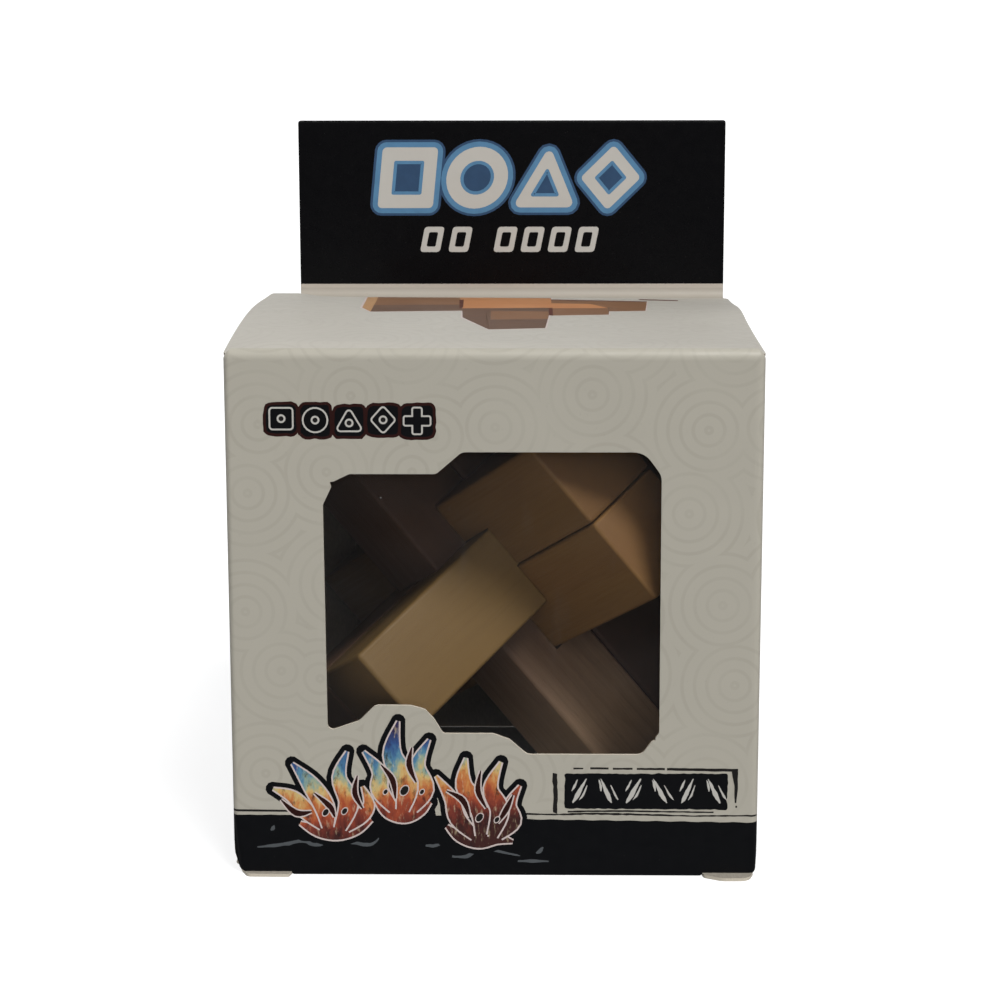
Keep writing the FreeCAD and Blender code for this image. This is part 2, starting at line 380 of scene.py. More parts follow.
def printed_wood(name, dark, pale, seed=0.0):
    """Printed picture of wood: streaks along the sheet's x."""
    s = Shader(name)
    p = s.sheet()
    streak = s.noise(s.stretch(p, 0.10, 1.6, 1, move=(seed, seed, 0)), 1.0, 4.0, 0.6)
    c = s.mix(s.between(streak, 0.3, 0.72), dark, pale)
    dots = s.between(s.noise(p, 3.6, 2.0), 0.62, 0.75)
    c = s.mix(s.math("MULTIPLY", dots, 0.18), c, dark)
    normal = s.bump(s.noise(p, 4.5, 3.0), 0.2, 0.00003)
    s.surface(c, s.between(streak, 0.3, 0.7, 0.40, 0.52), normal, 0.3)
    return s.mat


def bare_board(name, base, fibre=0.3):
    """Uncoated inside of the board: soft grey pulp with short fibres."""
    s = Shader(name)
    p = s.object_mm()
    fibres = s.noise(s.stretch(p, 3.2, 0.8, 1.1, turn=(0.3, 0.2, 0.7)), 1.0, 4.0, 0.7)
    blotch = s.noise(p, 0.12, 3.0)
    c = s.mix(s.between(fibres, 0.3, 0.72), tuple(k * (1 - fibre) for k in base[:3]) + (1,), base)
    c = s.mix(s.math("MULTIPLY", blotch, 0.25), c, tuple(min(1, k * 1.18) for k in base[:3]) + (1,))
    flecks = s.between(s.noise(p, 1.9, 2.0), 0.70, 0.78)
    c = s.mix(s.math("MULTIPLY", flecks, 0.35), c, tuple(k * 0.45 for k in base[:3]) + (1,))
    normal = s.bump(fibres, 0.5, 0.00006)
    s.surface(c, s.between(fibres, 0.3, 0.7, 0.78, 0.94), normal, 0.2)
    return s.mat


def cut_edge(name, base):
    """Knife-cut edge: pale pulp in fine layers with a little fuzz."""
    s = Shader(name)
    p = s.object_mm()
    pulp = s.noise(s.stretch(p, 2.0, 2.0, 2.0), 3.0, 3.0, 0.7)
    c = s.mix(s.between(pulp, 0.3, 0.7), tuple(k * 0.78 for k in base[:3]) + (1,), base)
    normal = s.bump(pulp, 0.6, 0.00006)
    s.surface(c, s.between(pulp, 0.3, 0.7, 0.75, 0.95), normal, 0.2)
    return s.mat


def clear_film(name):
    """Thin clear film: mostly see-through, with a weak gloss, faint haze and a few specks of dust."""
    s = Shader(name)
    p = s.object_mm()
    ripple = s.noise(s.stretch(p, 0.05, 0.05, 0.09), 1.0, 2.0, 0.5)
    dust = s.node("TexVoronoi", {"Vector": p, "Scale": 0.16, "Randomness": 1.0}, feature="F1")
    speck = s.between(dust.outputs["Distance"], 0.010, 0.022, 1.0, 0.0)
    thin = s.between(s.noise(s.stretch(p, 0.35, 0.35, 0.05, turn=(0, 0.35, 0)), 1.0, 3.0, 0.6), 0.62, 0.80)
    haze = s.math("ADD", s.math("MULTIPLY", speck, 0.30), s.math("MULTIPLY", thin, 0.012))
    haze = s.math("ADD", haze, s.between(ripple, 0.3, 0.7, 0.002, 0.008), clamp=True)
    clear = s.node("BsdfTransparent", {"Color": (0.97, 0.975, 0.98, 1)})
    milky = s.node("BsdfPrincipled", {"Base Color": lin(205, 205, 208), "Roughness": 0.55})
    gloss = s.node("BsdfGlossy", {"Color": (1, 1, 1, 1)})
    s.put(gloss.inputs["Roughness"], s.between(ripple, 0.3, 0.7, 0.05, 0.12))
    s.put(gloss.inputs["Normal"], s.bump(ripple, 0.5, 0.0006))
    edge = s.node("LayerWeight", {"Blend": 0.12})
    shine = s.math("ADD", s.math("MULTIPLY", edge.outputs["Fresnel"], 0.30), 0.004)
    body = s.node("MixShader")
    s.put(body.inputs[0], haze)
    s.put(body.inputs[1], clear.outputs[0])
    s.put(body.inputs[2], milky.outputs[0])
    top = s.node("MixShader")
    s.put(top.inputs[0], shine)
    s.put(top.inputs[1], body.outputs[0])
    s.put(top.inputs[2], gloss.outputs[0])
    s.tree.links.new(top.outputs[0], s.out.inputs["Surface"])
    return s.mat


def wood(name, turn, centre, light, mid, dark, seed, long_axis, rough=0.5, pale=None):
    """Fine-grained hardwood, sanded and waxed: growth rings about an off-centre heart, fibre streaks and short pores
    along the stick.
    With pale, the colour ramps from the stick's own tones to pale towards one end: painted shade at the dark end and
    painted light at the pale end."""
    s = Shader(name)
    p = s.object_mm()
    # the stick's own axes, with the first along its length
    order = [long_axis, (long_axis + 1) % 3, (long_axis + 2) % 3]
    axes = [turn.col[i] for i in order]
    parts = []
    rel = s.node("VectorMath", operation="SUBTRACT")
    s.put(rel.inputs[0], p)
    rel.inputs[1].default_value = centre
    for a in axes:
        dot = s.node("VectorMath", operation="DOT_PRODUCT")
        s.put(dot.inputs[0], rel.outputs[0])
        dot.inputs[1].default_value = a
        parts.append(dot.outputs["Value"])
    q = s.node("CombineXYZ")
    for i in range(3):
        s.put(q.inputs[i], parts[i])
    q = q.outputs[0]
    shift = s.stretch(q, 1, 1, 1, move=(seed * 13.7, seed * 5.1, seed * 7.3))
    warp = s.noise(s.stretch(shift, 0.03, 0.12, 0.12), 1.0, 3.0, 0.55)
    # rings about the heart
    cy, cz = 17.0 * math.cos(seed * 2.3), 17.0 * math.sin(seed * 2.3)
    y = s.math("SUBTRACT", parts[1], cy)
    z = s.math("SUBTRACT", parts[2], cz)
    radius = s.math("SQRT", s.math("ADD", s.math("MULTIPLY", y, y), s.math("MULTIPLY", z, z)))
    radius = s.math("ADD", radius, s.math("MULTIPLY", warp, 5.5))
    radius = s.math("ADD", radius, s.math("MULTIPLY", parts[0], 0.035))
    ring = s.math("FRACT", s.math("DIVIDE", radius, 1.9))
    ring = s.between(ring, 0.0, 1.0)
    late = s.ramp(ring, [(0.0, (1, 1, 1, 1)), (0.07, (0.30, 0.30, 0.30, 1)), (0.55, (0.10, 0.10, 0.10, 1)), (0.93, (0.75, 0.75, 0.75, 1)), (1.0, (1, 1, 1, 1))])
    fibre = s.noise(s.stretch(shift, 0.09, 2.6, 2.6), 1.0, 5.0, 0.62)
    fine = s.noise(s.stretch(shift, 0.35, 9.0, 9.0), 1.0, 3.0, 0.6)
    pores = s.between(s.noise(s.stretch(shift, 0.55, 7.0, 7.0, move=(3, 1, 8)), 1.0, 1.0), 0.66, 0.74)
    tone = s.noise(s.stretch(shift, 0.02, 0.09, 0.09), 1.0, 2.0)
    c = s.mix(s.between(tone, 0.3, 0.7), mid, light)
    if pale:
        # painted light and shade: the stick goes pale towards one end and stays dark at the other
        painted_light_ramp = s.between(s.math("ADD", parts[0], s.math("MULTIPLY", warp, 3.0)), 1.5, 27.5)
        c = s.mix(s.math("MULTIPLY", painted_light_ramp, painted_light_ramp), c, pale)
    c = s.mix(s.math("MULTIPLY", late, 0.16), c, dark)
    c = s.mix(s.between(fibre, 0.36, 0.74, 0.0, 0.16), c, dark)
    c = s.mix(s.between(fine, 0.45, 0.75, 0.0, 0.14), c, light)
    c = s.mix(s.math("MULTIPLY", pores, 0.16), c, tuple(k * 0.5 for k in dark[:3]) + (1,))
    # cut ends drink the wax and go darker
    geo = s.node("NewGeometry")
    end = s.node("VectorMath", operation="DOT_PRODUCT")
    true = s.node("VectorTransform", vector_type="NORMAL", convert_from="WORLD", convert_to="OBJECT")
    s.put(true.inputs[0], geo.outputs["True Normal"])
    s.put(end.inputs[0], true.outputs[0])
    end.inputs[1].default_value = axes[0]
    ends = s.between(s.math("ABSOLUTE", end.outputs["Value"]), 0.80, 0.97)
    c = s.mix(s.math("MULTIPLY", ends, 0.45), c, dark)
    # convex edges are a little paler: partly rubbed wear, partly painted highlight along the edges
    edge_wear_and_highlight = s.between(geo.outputs["Pointiness"], 0.515, 0.60)
    c = s.mix(s.math("MULTIPLY", edge_wear_and_highlight, 0.35), c, tuple(min(1, k * 1.35) for k in light[:3]) + (1,))
    r = s.between(fibre, 0.3, 0.7, rough - 0.07, rough + 0.10)
    r = s.math("ADD", r, s.math("MULTIPLY", ends, 0.12), clamp=True)
    h = s.math("SUBTRACT", s.math("MULTIPLY", fibre, 0.7), s.math("MULTIPLY", pores, 0.9))
    normal = s.bump(h, 0.35, 0.00008)
    s.surface(c, r, normal, 0.22, coat=0.03, coat_rough=0.35)
    return s.mat


WHITE = lin(170, 167, 157)
paper = board_print("board_ring_print", WHITE, pattern=0.09)
paper_side = board_print("board_ring_print_side", WHITE, pattern=0.09, seed=31.0)
# painted light: the lid's board is lighter than the front and side board (WHITE), standing for the stronger light on
# the top
paper_lid_painted_lighter = board_print("board_lid_print_painted_light", lin(181, 178, 171), pattern=0.06, seed=57.0)
paper_plain = board_print("board_plain_white", lin(178, 171, 160), pattern=0.0)
paper_header = board_print("board_header_foot", lin(180, 172, 163), pattern=0.0, seed=63.0)
# partly wear and partly painted shade: the crease strip at the header's foot is darker board than the header and lid,
# for the shade in the fold
paper_crease = board_print("board_crease_worn_and_painted_shade", lin(161, 155, 146), pattern=0.0, seed=71.0)
inside = bare_board("board_inside", lin(158, 146, 132))
inside_flap = bare_board("board_inside_flap", lin(158, 152, 142))
raw_edge = cut_edge("board_cut_edge", lin(206, 198, 184))
black_ink = ink("ink_black_band", lin(7, 8, 11), rough=0.40, specular=0.12)
black_header = ink("ink_black_header", lin(4, 4, 6), rough=0.27, specular=0.11, seed=4.0)
dark_line = ink("ink_dark_line", lin(22, 20, 20), rough=0.42, specular=0.2, seed=8.0)
red_black = ink("ink_red_black", lin(36, 12, 10), rough=0.42, specular=0.14, mottle=0.5, seed=11.0)
blue_ink = ink("ink_blue_edge", lin(70, 112, 146), rough=0.36, mottle=0.45, seed=15.0)
blue_deep = ink("ink_blue_glow", lin(36, 62, 92), rough=0.36, mottle=0.5, seed=16.0)
white_ink = ink("ink_white_shape", lin(178, 177, 173), rough=0.40, mottle=0.06, seed=19.0)
pale_line = ink("ink_pale_line", lin(190, 178, 176), rough=0.40, mottle=0.08, seed=22.0)
# painted shade: dark grey for the shadow in the slit along the lid's front fold
fold_painted_shade = ink("board_fold_painted_shade", lin(112, 108, 104), rough=0.6, mottle=0.3, seed=27.0)
crease_pale = ink("board_crease_soft", lin(168, 164, 157), rough=0.6, mottle=0.1, seed=28.0)
grey_brush = ink("ink_grey_brush", lin(66, 70, 74), rough=0.42, mottle=0.5, seed=25.0)
fire_ink = flame_ink("ink_flames")
film_mat = clear_film("film_clear")
pic_end = printed_wood("print_wood_end", lin(150, 112, 78), lin(186, 150, 112), 1)
pic_top = printed_wood("print_wood_top", lin(164, 108, 70), lin(198, 142, 98), 2)
pic_side = printed_wood("print_wood_side", lin(108, 80, 60), lin(142, 104, 76), 3)
pic_dark = printed_wood("print_wood_dark", lin(84, 64, 52), lin(116, 90, 74), 4)
pic_line = printed_wood("print_wood_line", lin(70, 34, 26), lin(96, 52, 38), 5)


# ------------------------------------------------------------------ folded board
def board(name, body, nodes, outline, place, thickness=BOARD, holes=(), prints=(), folds_u=(), folds_v=(), step=4.0,
          outer=None, inner=None, edge=None):
    """One folded board panel: the flat outline is cut, printed and then bent by place(u, v) -> (outer point, outward normal).
    prints is a list of (outline, material), later ones over earlier ones."""
    outer, inner, edge = outer or paper, inner or inside, edge or raw_edge
    outline = divided(outline, step / 2)
    verts, edges = [], []

    def loop(poly):
        at = len(verts)
        verts.extend(Vector(p) for p in poly)
        edges.extend((at + i, at + (i + 1) % len(poly)) for i in range(len(poly)))

    loop(outline)
    for h in holes:
        loop(h)
    for poly, _ in prints:
        loop(poly)
    pts = np.array(outline, float)
    (u0, v0), (u1, v1) = pts.min(0), pts.max(0)
    for u in folds_u:
        at = len(verts)
        verts.extend((Vector((u, v0 - 1)), Vector((u, v1 + 1))))
        edges.append((at, at + 1))
    for v in folds_v:
        at = len(verts)
        verts.extend((Vector((u0 - 1, v)), Vector((u1 + 1, v))))
        edges.append((at, at + 1))
    nu, nv = max(1, int((u1 - u0) / step)), max(1, int((v1 - v0) / step))
    grid = np.array([(u0 + (u1 - u0) * (i + 0.5) / nu, v0 + (v1 - v0) * (j + 0.5) / nv) for i in range(nu) for j in range(nv)])
    grid = grid[within(grid, outline)]
    verts.extend(Vector(p) for p in grid.tolist())
    co, _, faces, _, _, _ = delaunay_2d_cdt(verts, edges, [], 0, 1e-5, False)
    co = np.array([tuple(c) for c in co], float)
    tri = np.array([tuple(f) for f in faces if len(f) == 3], int)
    a, b, c = co[tri[:, 0]], co[tri[:, 1]], co[tri[:, 2]]
    area = (b[:, 0] - a[:, 0]) * (c[:, 1] - a[:, 1]) - (c[:, 0] - a[:, 0]) * (b[:, 1] - a[:, 1])
    tri[area < 0] = tri[area < 0][:, ::-1]
    centre = (a + b + c) / 3
    keep = within(centre, outline) & (np.abs(area) > 1e-9)
    for h in holes:
        keep &= ~within(centre, h)
    tri, centre = tri[keep], centre[keep]
    mats, which = [outer, inner, edge], np.zeros(len(tri), int)
    for poly, mat in prints:
        if mat not in mats:
            mats.append(mat)
        lo, hi = np.min(poly, 0), np.max(poly, 0)
        near = np.where(((centre >= lo) & (centre <= hi)).all(1))[0]
        if len(near):
            which[near[within(centre[near], poly)]] = mats.index(mat)
    used = np.unique(tri)
    remap = -np.ones(len(co), int)
    remap[used] = np.arange(len(used))
    tri, co = remap[tri], co[used]
    outside, within_, normals = [], [], []
    for u, v in co:
        p, n = place(u, v)
        p, n = Vector(p), Vector(n)
        outside.append(p)
        within_.append(p - n * thickness)
    n = len(co)
    # place() may run against the outline's sense: outer faces look along the normal
    q, m = place(*co[tri[0]].mean(0))
    e1, e2 = outside[tri[0][1]] - outside[tri[0][0]], outside[tri[0][2]] - outside[tri[0][0]]
    if e1.cross(e2).dot(Vector(m)) < 0:
        tri = tri[:, ::-1]
    count = {}
    for t in tri:
        for i in range(3):
            k = (t[i], t[(i + 1) % 3])
            count[k] = count.get(k, 0) + 1
    rim = [k for k in count if (k[1], k[0]) not in count]
    polys = [tuple(int(i) for i in t) for t in tri]
    polys += [tuple(int(i) + n for i in t[::-1]) for t in tri]
    polys += [(int(k[1]), int(k[0]), int(k[0]) + n, int(k[1]) + n) for k in rim]
    index = list(which) + [1] * len(tri) + [2] * len(rim)
    mesh = bpy.data.meshes.new(name)
    mesh.from_pydata([tuple(p * MM) for p in outside + within_], [], polys)
    for mat in mats:
        mesh.materials.append(mat)
    mesh.polygons.foreach_set("material_index", index)
    uv = mesh.uv_layers.new(name="sheet")
    flat = np.concatenate([co, co]) / 100.0
    loops = np.zeros(len(mesh.loops), int)
    mesh.loops.foreach_get("vertex_index", loops)
    uv.data.foreach_set("uv", flat[loops].astype(np.float32).ravel())
    mesh.polygons.foreach_set("use_smooth", [True] * len(polys))
    mesh.set_sharp_from_angle(angle=math.radians(38))
    mesh.update()
    obj = bpy.data.objects.new(name, mesh)
    bpy.context.scene.collection.objects.link(obj)
    if body:
        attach(obj, body)
    if nodes:
        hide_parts(*nodes)
    return obj


def arc_steps(start, radius, turn=math.pi / 2, n=6, sign=1):
    return [start + sign * radius * turn * k / n for k in range(n + 1)]


# ------------------------------------------------------------------ front panel with its window
WINDOW = rounded([
    (-23.75, 21.30, 0.8), (-23.95, 54.10, 1.2), (-22.75, 56.60, 0.3), (-22.95, 57.35, 0.15), (-22.35, 57.45, 0.2), (-20.20, 58.50, 1.2),
    (-8.10, 58.50, 1.2), (-4.50, 61.60, 1.5), (20.90, 61.60, 3.0), (23.30, 58.30, 2.5),
    (23.35, 21.15, 1.0), (22.85, 20.55, 0.3), (22.80, 20.10, 0.15), (22.30, 19.95, 0.7), (20.90, 18.00, 1.5), (4.60, 18.00, 1.5),
    (2.10, 20.20, 1.5), (-0.20, 21.05, 1.2), (-7.30, 21.05, 0.6), (-8.60, 23.20, 1.0),
    (-9.90, 24.60, 1.0), (-11.90, 25.15, 1.0), (-16.90, 25.20, 1.2), (-19.20, 22.90, 1.2)], 6)

ARC = CORNER * math.pi / 2
FLAT_X = RIGHT - CORNER
LIP, LIP_TURN = 1.6, math.radians(66)  # the panel's top edge rolls back over the lid's fold
LIP_FOOT = TOP - 0.45  # where the roll begins
LIP_ARC = LIP * LIP_TURN
WALL = FLAT_X + ARC  # half the width of the unrolled front wall, up to where the side walls begin


def dent(p):
    """Small permanent bends of the made-up carton: the foot corners are pressed in a little."""
    x, y, z = p
    for side, deep, tall in ((-1, 1.25, 4.2), (1, 0.22, 4.6)):
        wx = min(1.0, max(0.0, (side * x - 30.0) / 7.5)) ** 2
        wy = max(0.0, 1.0 - (y - FRONT) / 14.0) ** 2
        wz = max(0.0, 1.0 - z / tall) ** 2
        x -= side * deep * wx * wy * wz
    return Vector((x, y, z))


def sway(x, z):
    """Slow wander of a board face, under a tenth of a millimetre."""
    return 0.10 * noise.noise(Vector((x * 0.045, z * 0.05, 1.7)))


def place_front(u, v):
    side = 1 if u > 0 else -1
    s = max(0.0, abs(u) - FLAT_X)
    a = s / CORNER
    n = Vector((side * math.sin(a), -math.cos(a), 0))
    p = Vector((side * (min(abs(u), FLAT_X) + CORNER * math.sin(a)), FRONT + CORNER * (1 - math.cos(a)), 0))
    t = max(0.0, v - LIP_FOOT) / LIP
    p -= n * LIP * (1 - math.cos(t))
    p.z = min(v, LIP_FOOT) + LIP * math.sin(t)
    n = n * math.cos(t) + Vector((0, 0, 1)) * math.sin(t)
    return dent(p), n


front_outline = rounded([
    (-WALL, 0.95, 0.0), (-WALL, SIDE_TOP + 0.3, 0.0), (-WALL + 1.1, LIP_FOOT + LIP_ARC, 1.1), (WALL - 1.1, LIP_FOOT + LIP_ARC, 1.1), (WALL, SIDE_TOP + 0.3, 0.0),
    (WALL, 1.0, 0.0), (WALL - 0.8, 0.50, 0.3), (29.8, 0.34, 0.2), (29.4, 0.03, 0.1), (-28.9, 0.03, 0.1), (-29.3, 0.34, 0.15), (-WALL + 1.4, 0.40, 0.3)], 4)

# emblem: flame tongues as (x, z, width) strokes, three groups from left to right
TONGUES = [
    [(-27.9, 7.7, 0.4), (-25.4, 6.6, 1.7), (-22.6, 6.3, 2.2), (-19.8, 6.9, 1.6), (-17.6, 8.2, 0.3)],
    [(-24.6, 7.2, 1.2), (-26.9, 9.4, 2.2), (-28.9, 11.6, 1.7), (-31.7, 12.8, 0.2)],
    [(-21.4, 7.0, 1.4), (-19.1, 8.8, 2.0), (-18.0, 10.6, 1.4), (-18.9, 13.2, 0.2)],
    [(-23.9, 7.0, 1.5), (-24.4, 10.2, 2.7), (-26.4, 13.6, 2.2), (-28.9, 16.6, 0.2)],
    [(-22.2, 6.9, 1.6), (-20.9, 10.8, 2.6), (-22.2, 14.6, 1.8), (-21.0, 18.4, 0.2)],
    [(-17.0, 11.0, 0.4), (-15.2, 9.4, 1.8), (-12.8, 8.9, 2.2), (-10.6, 9.6, 1.3), (-9.2, 10.9, 0.3)],
    [(-14.4, 9.8, 1.4), (-16.4, 12.6, 2.3), (-16.5, 15.4, 1.8), (-18.7, 18.4, 0.2)],
    [(-11.8, 9.8, 1.4), (-10.0, 12.8, 2.4), (-11.0, 16.4, 1.9), (-9.3, 20.2, 0.2)],
    [(-13.2, 9.6, 1.7), (-12.6, 13.6, 3.1), (-14.6, 18.0, 2.5), (-13.7, 22.9, 0.2)],
    [(-6.9, 7.3, 0.4), (-5.0, 5.8, 1.6), (-2.4, 5.1, 2.1), (0.2, 5.5, 1.7), (2.6, 5.0, 0.3)],
    [(-2.8, 5.8, 1.4), (-5.3, 8.4, 2.2), (-6.2, 11.4, 1.8), (-8.4, 14.8, 0.2)],
    [(0.5, 5.9, 1.3), (2.7, 8.0, 1.9), (2.2, 10.6, 1.5), (3.6, 13.4, 0.2)],
    [(-1.9, 5.8, 1.6), (-2.0, 9.8, 2.9), (-4.4, 13.4, 2.2), (-4.1, 17.5, 0.2)],
    [(-0.4, 5.8, 1.4), (0.7, 9.6, 2.5), (-0.6, 13.0, 1.9), (0.9, 16.9, 0.2)],
]
LICKS = [
    [(-30.6, 11.2, 0.15), (-28.4, 9.2, 0.9), (-26.2, 9.4, 0.2)], [(-25.8, 12.2, 0.15), (-23.6, 10.2, 0.8), (-22.9, 8.6, 0.2)],
    [(-19.6, 14.8, 0.15), (-20.0, 12.2, 0.75), (-18.9, 9.9, 0.2)], [(-16.2, 16.4, 0.15), (-14.6, 14.2, 0.8), (-14.2, 11.4, 0.2)],
    [(-11.8, 19.0, 0.15), (-12.2, 16.4, 0.8), (-11.2, 13.8, 0.2)], [(-6.9, 12.6, 0.15), (-4.6, 11.2, 0.8), (-3.6, 8.6, 0.2)],
    [(-2.0, 15.6, 0.15), (-2.4, 12.6, 0.75), (-1.2, 10.0, 0.2)], [(2.6, 12.0, 0.15), (1.6, 9.8, 0.75), (0.4, 7.8, 0.2)]]
EMBERS = [(-24.2, 9.3, 0.5), (-21.5, 9.5, 0.45), (-12.9, 12.6, 0.7), (-15.6, 12.4, 0.35), (-2.2, 8.6, 0.6), (0.3, 8.3, 0.4), (-10.4, 12.4, 0.35)]

band = [(-WALL - 1, -1), (WALL + 1, -1), (WALL + 1, 8.22)] + [(x, 8.45 + 0.012 * (-x) + 0.05 * math.sin(x * 1.7)) for x in np.arange(36.0, 3.9, -1.0)] \
    + [(3.6, 8.6), (3.2, 8.9), (-29.0, 8.9), (-30.0, 8.92)] + [(x, 8.92 + 0.03 * math.sin(x * 2.1)) for x in np.arange(-31.0, -38.1, -1.0)] + [(-WALL - 1, 8.9)]
front_prints = [(band, black_ink)]
# thin dark line that runs above the band
front_prints += [([(-WALL - 1, 9.42), (-29.5, 9.36), (-29.5, 9.66), (-WALL - 1, 9.75)], dark_line)]
front_prints += [(jitter([(4.0, 9.05), (8.6, 8.98), (14.0, 9.10), (20.0, 9.02), (28.0, 8.84), (WALL + 1, 8.92), (WALL + 1, 9.12), (28.0, 9.06), (20.0, 9.28), (14.0, 9.42), (8.6, 9.2), (4.0, 9.32)], 0.09, 3), dark_line)]
# grey dry-brush marks in the band
for pts in (
        [(-34.1, 4.1, 0.2), (-31.0, 4.4, 0.55), (-27.6, 5.0, 0.5), (-26.1, 4.5, 0.55), (-24.8, 4.6, 0.5), (-23.8, 5.7, 0.25)],
        [(-23.1, 5.1, 0.25), (-20.5, 4.8, 0.45), (-17.9, 4.5, 0.5), (-16.6, 5.5, 0.2)],
        [(-9.9, 4.4, 0.2), (-8.8, 4.35, 0.5), (-7.6, 4.6, 0.25)],
        [(-6.1, 2.75, 0.25), (-4.0, 2.8, 0.5), (-2.3, 3.9, 0.5), (-0.5, 3.8, 0.4), (3.6, 2.9, 0.15)],
        [(3.3, 2.1, 0.2), (5.4, 2.15, 0.45), (7.7, 2.1, 0.2)],
        [(5.9, 3.3, 0.2), (6.4, 3.6, 0.6), (6.9, 4.2, 0.15)],
        [(-15.6, 6.2, 0.15), (-14.3, 6.5, 0.35), (-12.9, 6.9, 0.15)],
        [(-32.1, 6.6, 0.12), (-31.8, 6.9, 0.4), (-31.6, 7.3, 0.12)]):
    front_prints.append((jitter(stroke(pts), 0.10, 5), grey_brush))
for t in TONGUES:
    front_prints.append((stroke(t, 0.95), black_ink))
for k in range(3):  # the dark ground under the three groups runs together
    front_prints.append((rounded([[(-30.0, 5.0, 1.5), (-16.6, 4.9, 1.5), (-17.4, 10.2, 1.5), (-27.0, 9.6, 1.5)],
                                  [(-18.6, 5.6, 1.2), (-8.0, 5.6, 1.2), (-8.9, 12.4, 2.0), (-16.8, 13.0, 2.0)],
                                  [(-9.4, 4.2, 1.5), (3.9, 4.0, 1.5), (3.4, 9.4, 1.5), (-6.4, 10.2, 1.5)]][k]), black_ink))
for t in TONGUES:
    front_prints.append((stroke(t, 0.24), pale_line))
    front_prints.append((stroke(t), fire_ink))
for t in LICKS:
    front_prints.append((stroke(t, 0.20), pale_line))
    front_prints.append((stroke(t, 0.0), red_black))
for x, z, r in EMBERS:
    front_prints.append((circle(x, z, r + 0.16, 12, 0.8, 0.3), pale_line))
    front_prints.append((circle(x, z, r, 12, 0.8, 0.3), dark_line))

# strip of five plain toy shapes, dark red ground with a pale contour
for i in range(5):
    cx, cz = -29.55 + 4.72 * i, 66.05 + (0.25, 0.05, -0.1, 0.1, -0.05)[i]
    w, h = (2.55, 2.5, 2.5, 2.6, 2.65)[i], (2.45, 2.65, 2.5, 2.45, 2.6)[i]
    plate = rounded([(cx - w, cz - h, 1.1), (cx + w, cz - h - 0.1, 1.2), (cx + w - 0.1, cz + h, 1.0), (cx - w + 0.1, cz + h - 0.15, 1.2)], 4)
    front_prints.append((jitter(plate, 0.14, 7 + i, 0.6), red_black))
    front_prints.append((simple_shift(jitter(plate, 0.14, 7 + i, 0.6), -0.42), black_ink))
for i in range(5):
    cx, cz = -29.55 + 4.72 * i, 66.05 + (0.25, 0.05, -0.1, 0.1, -0.05)[i]
    shapes = {
        0: [rounded([(cx - 1.5, cz - 1.4, 0.3), (cx + 1.5, cz - 1.4, 0.3), (cx + 1.5, cz + 1.4, 0.3), (cx - 1.5, cz + 1.4, 0.3)], 3)],
        1: [circle(cx, cz, 1.6, 22)],
        2: [rounded([(cx - 1.75, cz - 1.3, 0.3), (cx + 1.75, cz - 1.3, 0.3), (cx, cz + 1.7, 0.3)], 3)],
        3: [rounded([(cx, cz - 1.8, 0.3), (cx + 1.6, cz, 0.3), (cx, cz + 1.8, 0.3), (cx - 1.6, cz, 0.3)], 3)],
        4: [rounded([(cx - 1.75, cz - 0.55, 0.15), (cx - 1.75, cz + 0.55, 0.15), (cx + 1.75, cz + 0.55, 0.15), (cx + 1.75, cz - 0.55, 0.15)], 3),
            rounded([(cx - 0.55, cz - 1.75, 0.15), (cx + 0.55, cz - 1.75, 0.15), (cx + 0.55, cz + 1.75, 0.15), (cx - 0.55, cz + 1.75, 0.15)], 3)]}[i]
    for poly in shapes:
        front_prints.append((simple_shift(poly, 0.24), white_ink))
    for poly in shapes:
        front_prints.append((poly, black_ink))
    if i < 4:
        front_prints.append((circle(cx, cz - (0.25 if i == 2 else 0), 0.62, 14), white_ink))
        front_prints.append((circle(cx, cz - (0.25 if i == 2 else 0), 0.36, 12), dark_line))

# dry-brush label with six short pale stick marks
front_prints += [
    (jitter(rounded([(9.9, 10.0, 0.3), (33.1, 9.9, 0.3), (33.2, 15.25, 0.3), (9.95, 15.2, 0.3)], 3), 0.14, 21, 0.5), black_ink),
    (jitter([(8.3, 9.4), (8.9, 9.2), (9.0, 12.0), (8.9, 15.2), (8.2, 15.3), (8.35, 12.0)], 0.14, 22), dark_line),
    (jitter([(24.5, 16.06), (34.6, 15.98), (34.62, 13.0), (34.42, 10.9), (34.2, 10.9), (34.1, 13.4), (33.7, 15.55), (24.5, 15.7)], 0.08, 23), dark_line),
    (jitter([(11.2, 15.82), (12.6, 15.85), (12.6, 16.10), (11.2, 16.08)], 0.05, 24), dark_line),
    (jitter([(13.6, 15.85), (16.2, 15.82), (16.2, 16.12), (13.6, 16.14)], 0.05, 25), dark_line),
    (jitter([(16.8, 15.78), (19.6, 15.8), (19.6, 16.07), (16.8, 16.08)], 0.05, 26), dark_line),
    (jitter([(20.2, 15.76), (24.2, 15.74), (24.2, 16.05), (20.2, 16.07)], 0.05, 27), dark_line),
    (jitter([(10.4, 9.42), (17.0, 9.52), (31.2, 9.40), (31.2, 9.60), (17.0, 9.80), (10.4, 9.66)], 0.06, 28), dark_line),
    ([(34.3, 10.2), (34.55, 10.2), (34.55, 10.5), (34.3, 10.5)], dark_line)]
